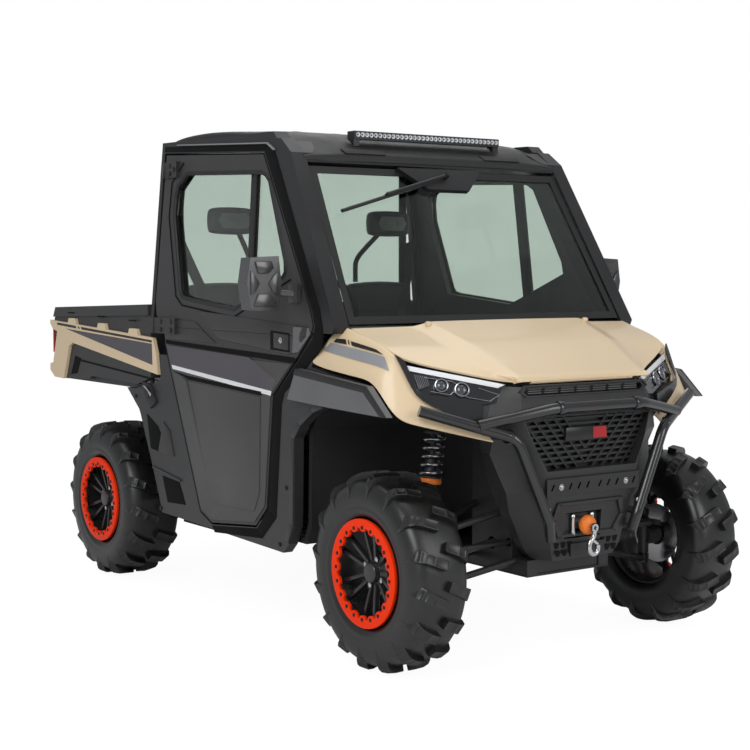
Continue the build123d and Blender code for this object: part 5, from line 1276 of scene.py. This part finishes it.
mirror_lobes = (
    ((-0.868, 1.377), (-0.800, 1.379), (-0.790, 1.354), (-0.812, 1.334), (-0.854, 1.334)),
    ((-0.885, 1.346), (-0.866, 1.326), (-0.848, 1.300), (-0.864, 1.272), (-0.884, 1.258)),
    ((-0.773, 1.342), (-0.794, 1.326), (-0.812, 1.300), (-0.796, 1.272), (-0.775, 1.256)),
    ((-0.856, 1.264), (-0.808, 1.264), (-0.784, 1.242), (-0.784, 1.218), (-0.872, 1.220)))
mirror_outline = ((-0.768, 1.386), (-0.880, 1.380), (-0.890, 1.300), (-0.874, 1.216), (-0.776, 1.212))


def facet(spots, side):
    """A sloping plate on the body side, through spots that each have their own lift."""
    return drawn([skin(along, up, side, lift) for along, up, lift in spots], (0, side * -0.006, 0))


for side, hand in hands:
    door = f"door_{hand}"
    outward = (0, side, 0)
    dress(door_black, f"{door}_shell")
    dress(tinted_glass, f"{door}_glass")
    dress(mirror_shell, f"{door}_mirror")
    for name, material, slot, bevel, rows in door_plates:
        settle(side_plates(rows, (side,)), f"{door}_{name}", material, door, bevel=bevel)
    panel = [side_plate(((-0.128, 0.906), (0.430, 0.880), (0.412, 0.520), (0.372, 0.446), (0.052, 0.436)),
                        side, 0.0085, 0.008),
             facet(((-0.205, 0.922, 0.004), (-0.130, 0.908, 0.012), (0.050, 0.446, 0.008),
                    (0.036, 0.446, 0.004)), side)]
    settle(panel, f"{door}_folded_panel", door_grey, door, bevel=0.003)
    belt_facet = facet(((0.668, 1.146, 0.012), (0.752, 1.144, 0.002), (0.766, 1.122, 0.002),
                        (0.690, 1.056, 0.004), (0.664, 1.052, 0.012)), side)
    settle(belt_facet, f"{door}_belt_facet", flare_grey_and_sheen, door, bevel=0.0015)
    lock = turned(((0.0, 0.0), (0.011, 0.0), (0.011, 0.003), (0.008, 0.0045), (0.007, 0.0035), (0.0, 0.0035)),
                  skin(0.586, 1.095, side, 0.009), outward, steps=28)
    settle(lock, f"{door}_lock", bright_steel, door, smooth=40)
    bolts = [stud(skin(along, up, side, lift), outward, radius, 0.005) for along, up, lift, radius in (
        (-0.330, 1.103, 0.0150, 0.011), (-0.330, 1.137, 0.0150, 0.011), (-0.245, 1.103, 0.0150, 0.011),
        (-0.245, 1.137, 0.0150, 0.011), (-0.345, 1.768, 0.0148, 0.010), (-0.345, 1.736, 0.0148, 0.010),
        (-0.310, 1.752, 0.0148, 0.010))]
    settle(bolts, f"{door}_hinge_bolts", powder_coat, door)

    seal = welts_along(window_opening, lambda along, up: skin(along, up, side, -0.004), 0.009)
    settle(seal, f"{door}_window_seal", screen_seal, door, smooth=60)
    # Painted shade: a near-black welt along the groove round the window.
    bead = welts_along(window_groove, lambda along, up: skin(along, up, side), 0.0035)
    settle(bead, f"{door}_window_groove_shade", shadow_black, door, smooth=60)
    bars = [drawn([skin(along, 1.706, side, lift), skin(along + width, 1.706, side, lift),
                   skin(along + width + 0.024, 1.226, side, lift), skin(along + 0.024, 1.217, side, lift)],
                  (0, side * 0.008, 0))
            for along, width, lift in ((0.262, 0.062, -0.021), (0.296, 0.022, -0.012))]
    settle(bars, f"{door}_window_bars", screen_seal, door, bevel=0.0015)

    lobes = [pane(0.645, [(-side * across, up) for across, up in outline], 0.012)
             for outline in mirror_lobes]
    settle(lobes, f"{door}_mirror_lobes", mirror_shell, door, bevel=0.0035)
    reflector = pane(0.5835, [(-side * across, up) for across, up in mirror_outline], 0.002)
    settle(reflector, f"{door}_mirror_glass", mirror_silver, door, bevel=0.0006)

# ---------------------------------------------------------------- cargo bed
# A moulded black tub with ribbed walls and floor, tan side trims with a black decal, steel
# tie-down rings, red lamps at its rear corners and a drop tailgate on two barrel hinges.
bed_black = finish("bed_black", (0.038, 0.038, 0.039), 0.45, 1500, 0.45, drift=0.1)
lamp_red = finish("lamp_red", (0.42, 0.012, 0.012), 0.18, 300, 0.05, drift=0.1, coat=0.8)
dress(bed_black, "bed_box", "tailgate")
dress(tan_gloss, "bed_trims")
dress(lamp_red, "tail_lamps")
for name, material, slot, rows in (  # plates as outline, distance out from the middle, depth
    ("bed_decal_wedge", band_violet, "grey_plastic", (
        (((-1.292, 1.076), (-0.432, 0.953), (-0.436, 1.041)), 0.7138, 0.001),)),
    ("bed_decal_stripe", decal_black, "black_plastic", (
        (((-1.388, 1.1015), (-1.184, 1.0915), (-1.178, 1.0805), (-1.388, 1.091)), 0.714, 0.001),
        (((-1.163, 1.0905), (-1.150, 1.090), (-1.140, 1.079), (-1.152, 1.0795)), 0.714, 0.001),
        (((-1.130, 1.089), (-0.436, 1.055), (-0.436, 1.046), (-1.122, 1.0775)), 0.714, 0.001))),
    ("bed_side_recess", shadow_black, "black_plastic", (
        (((-1.222, 0.955), (-1.160, 0.945), (-1.205, 0.874), (-1.270, 0.868)), 0.6995, 0.002),
        (((-1.160, 0.940), (-0.470, 0.897), (-0.470, 0.890), (-1.160, 0.932)), 0.6995, 0.002))),
):
    films = [drawn([(along, side * across, up) for along, up in outline], (0, side * depth, 0))
             for side in both for outline, across, depth in rows]
    settle(films, name, material, "bed")

# The bed's wall slots are near-black plates of painted shade.
slots = [slab((middle - 0.034, side * 0.7122 - 0.0012, up - 0.003),
              (middle + 0.034, side * 0.7122 + 0.0012, up + 0.003))
         for side in both for middle, up in ((-1.235, 1.150), (-0.925, 1.141), (-0.616, 1.132))]
settle(slots, "bed_wall_slots", shadow_black, "bed")
ribs = slab_row((-1.425, -0.564, 0.863), (-0.520, -0.536, 0.8715), (0, 0.11, 0), 11)
ribs += slab_row((-0.506, -0.534, 0.868), (-0.498, -0.506, 1.150), (0, 0.13, 0), 9)
for side in both:
    ribs += slab_row((-1.372, side * 0.674 - 0.006, 0.868), (-1.348, side * 0.674 + 0.006, 1.135),
                     (0.106, 0, 0), 9)
settle(ribs, "bed_ribs", bed_black, "bed", bevel=0.003)
tie_rings = [turned(((0.026, -0.004), (0.030, -0.004), (0.032, 0.0), (0.030, 0.004), (0.026, 0.004),
                     (0.024, 0.0)), (along, side * 0.655, 1.085), (1, 0, 0), steps=28)
             for side in both for along in (-1.280, -0.640)]
settle(tie_rings, "tie_down_rings", zinc_bolt, "bed", smooth=60)

gate_low, gate_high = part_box("tailgate")
gate_pads = slab_row((gate_low.x - 0.004, -0.560, gate_low.z + 0.060),
                     (gate_low.x + 0.010, -0.460, gate_high.z - 0.050), (0, 0.17, 0), 7)
settle(gate_pads, "tailgate_pads", bed_black, "tailgate", bevel=0.004)
gate_handle = slab((gate_low.x - 0.010, -0.110, gate_high.z - 0.044),
                   (gate_low.x + 0.010, 0.110, gate_high.z - 0.012))
settle(gate_handle, "tailgate_handle", gloss_black, "tailgate", bevel=0.005)
lamp_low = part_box("tail_lamps")[0]
lamp_cells = [cell for side in both for cell in
              slab_row((lamp_low.x - 0.0015, side * 0.687 - 0.007, lamp_low.z + 0.014),
                       (lamp_low.x + 0.002, side * 0.687 + 0.007, lamp_low.z + 0.032), (0, 0, 0.034), 4)]
settle(lamp_cells, "tail_lamp_cells", lamp_red, "bed", bevel=0.001)
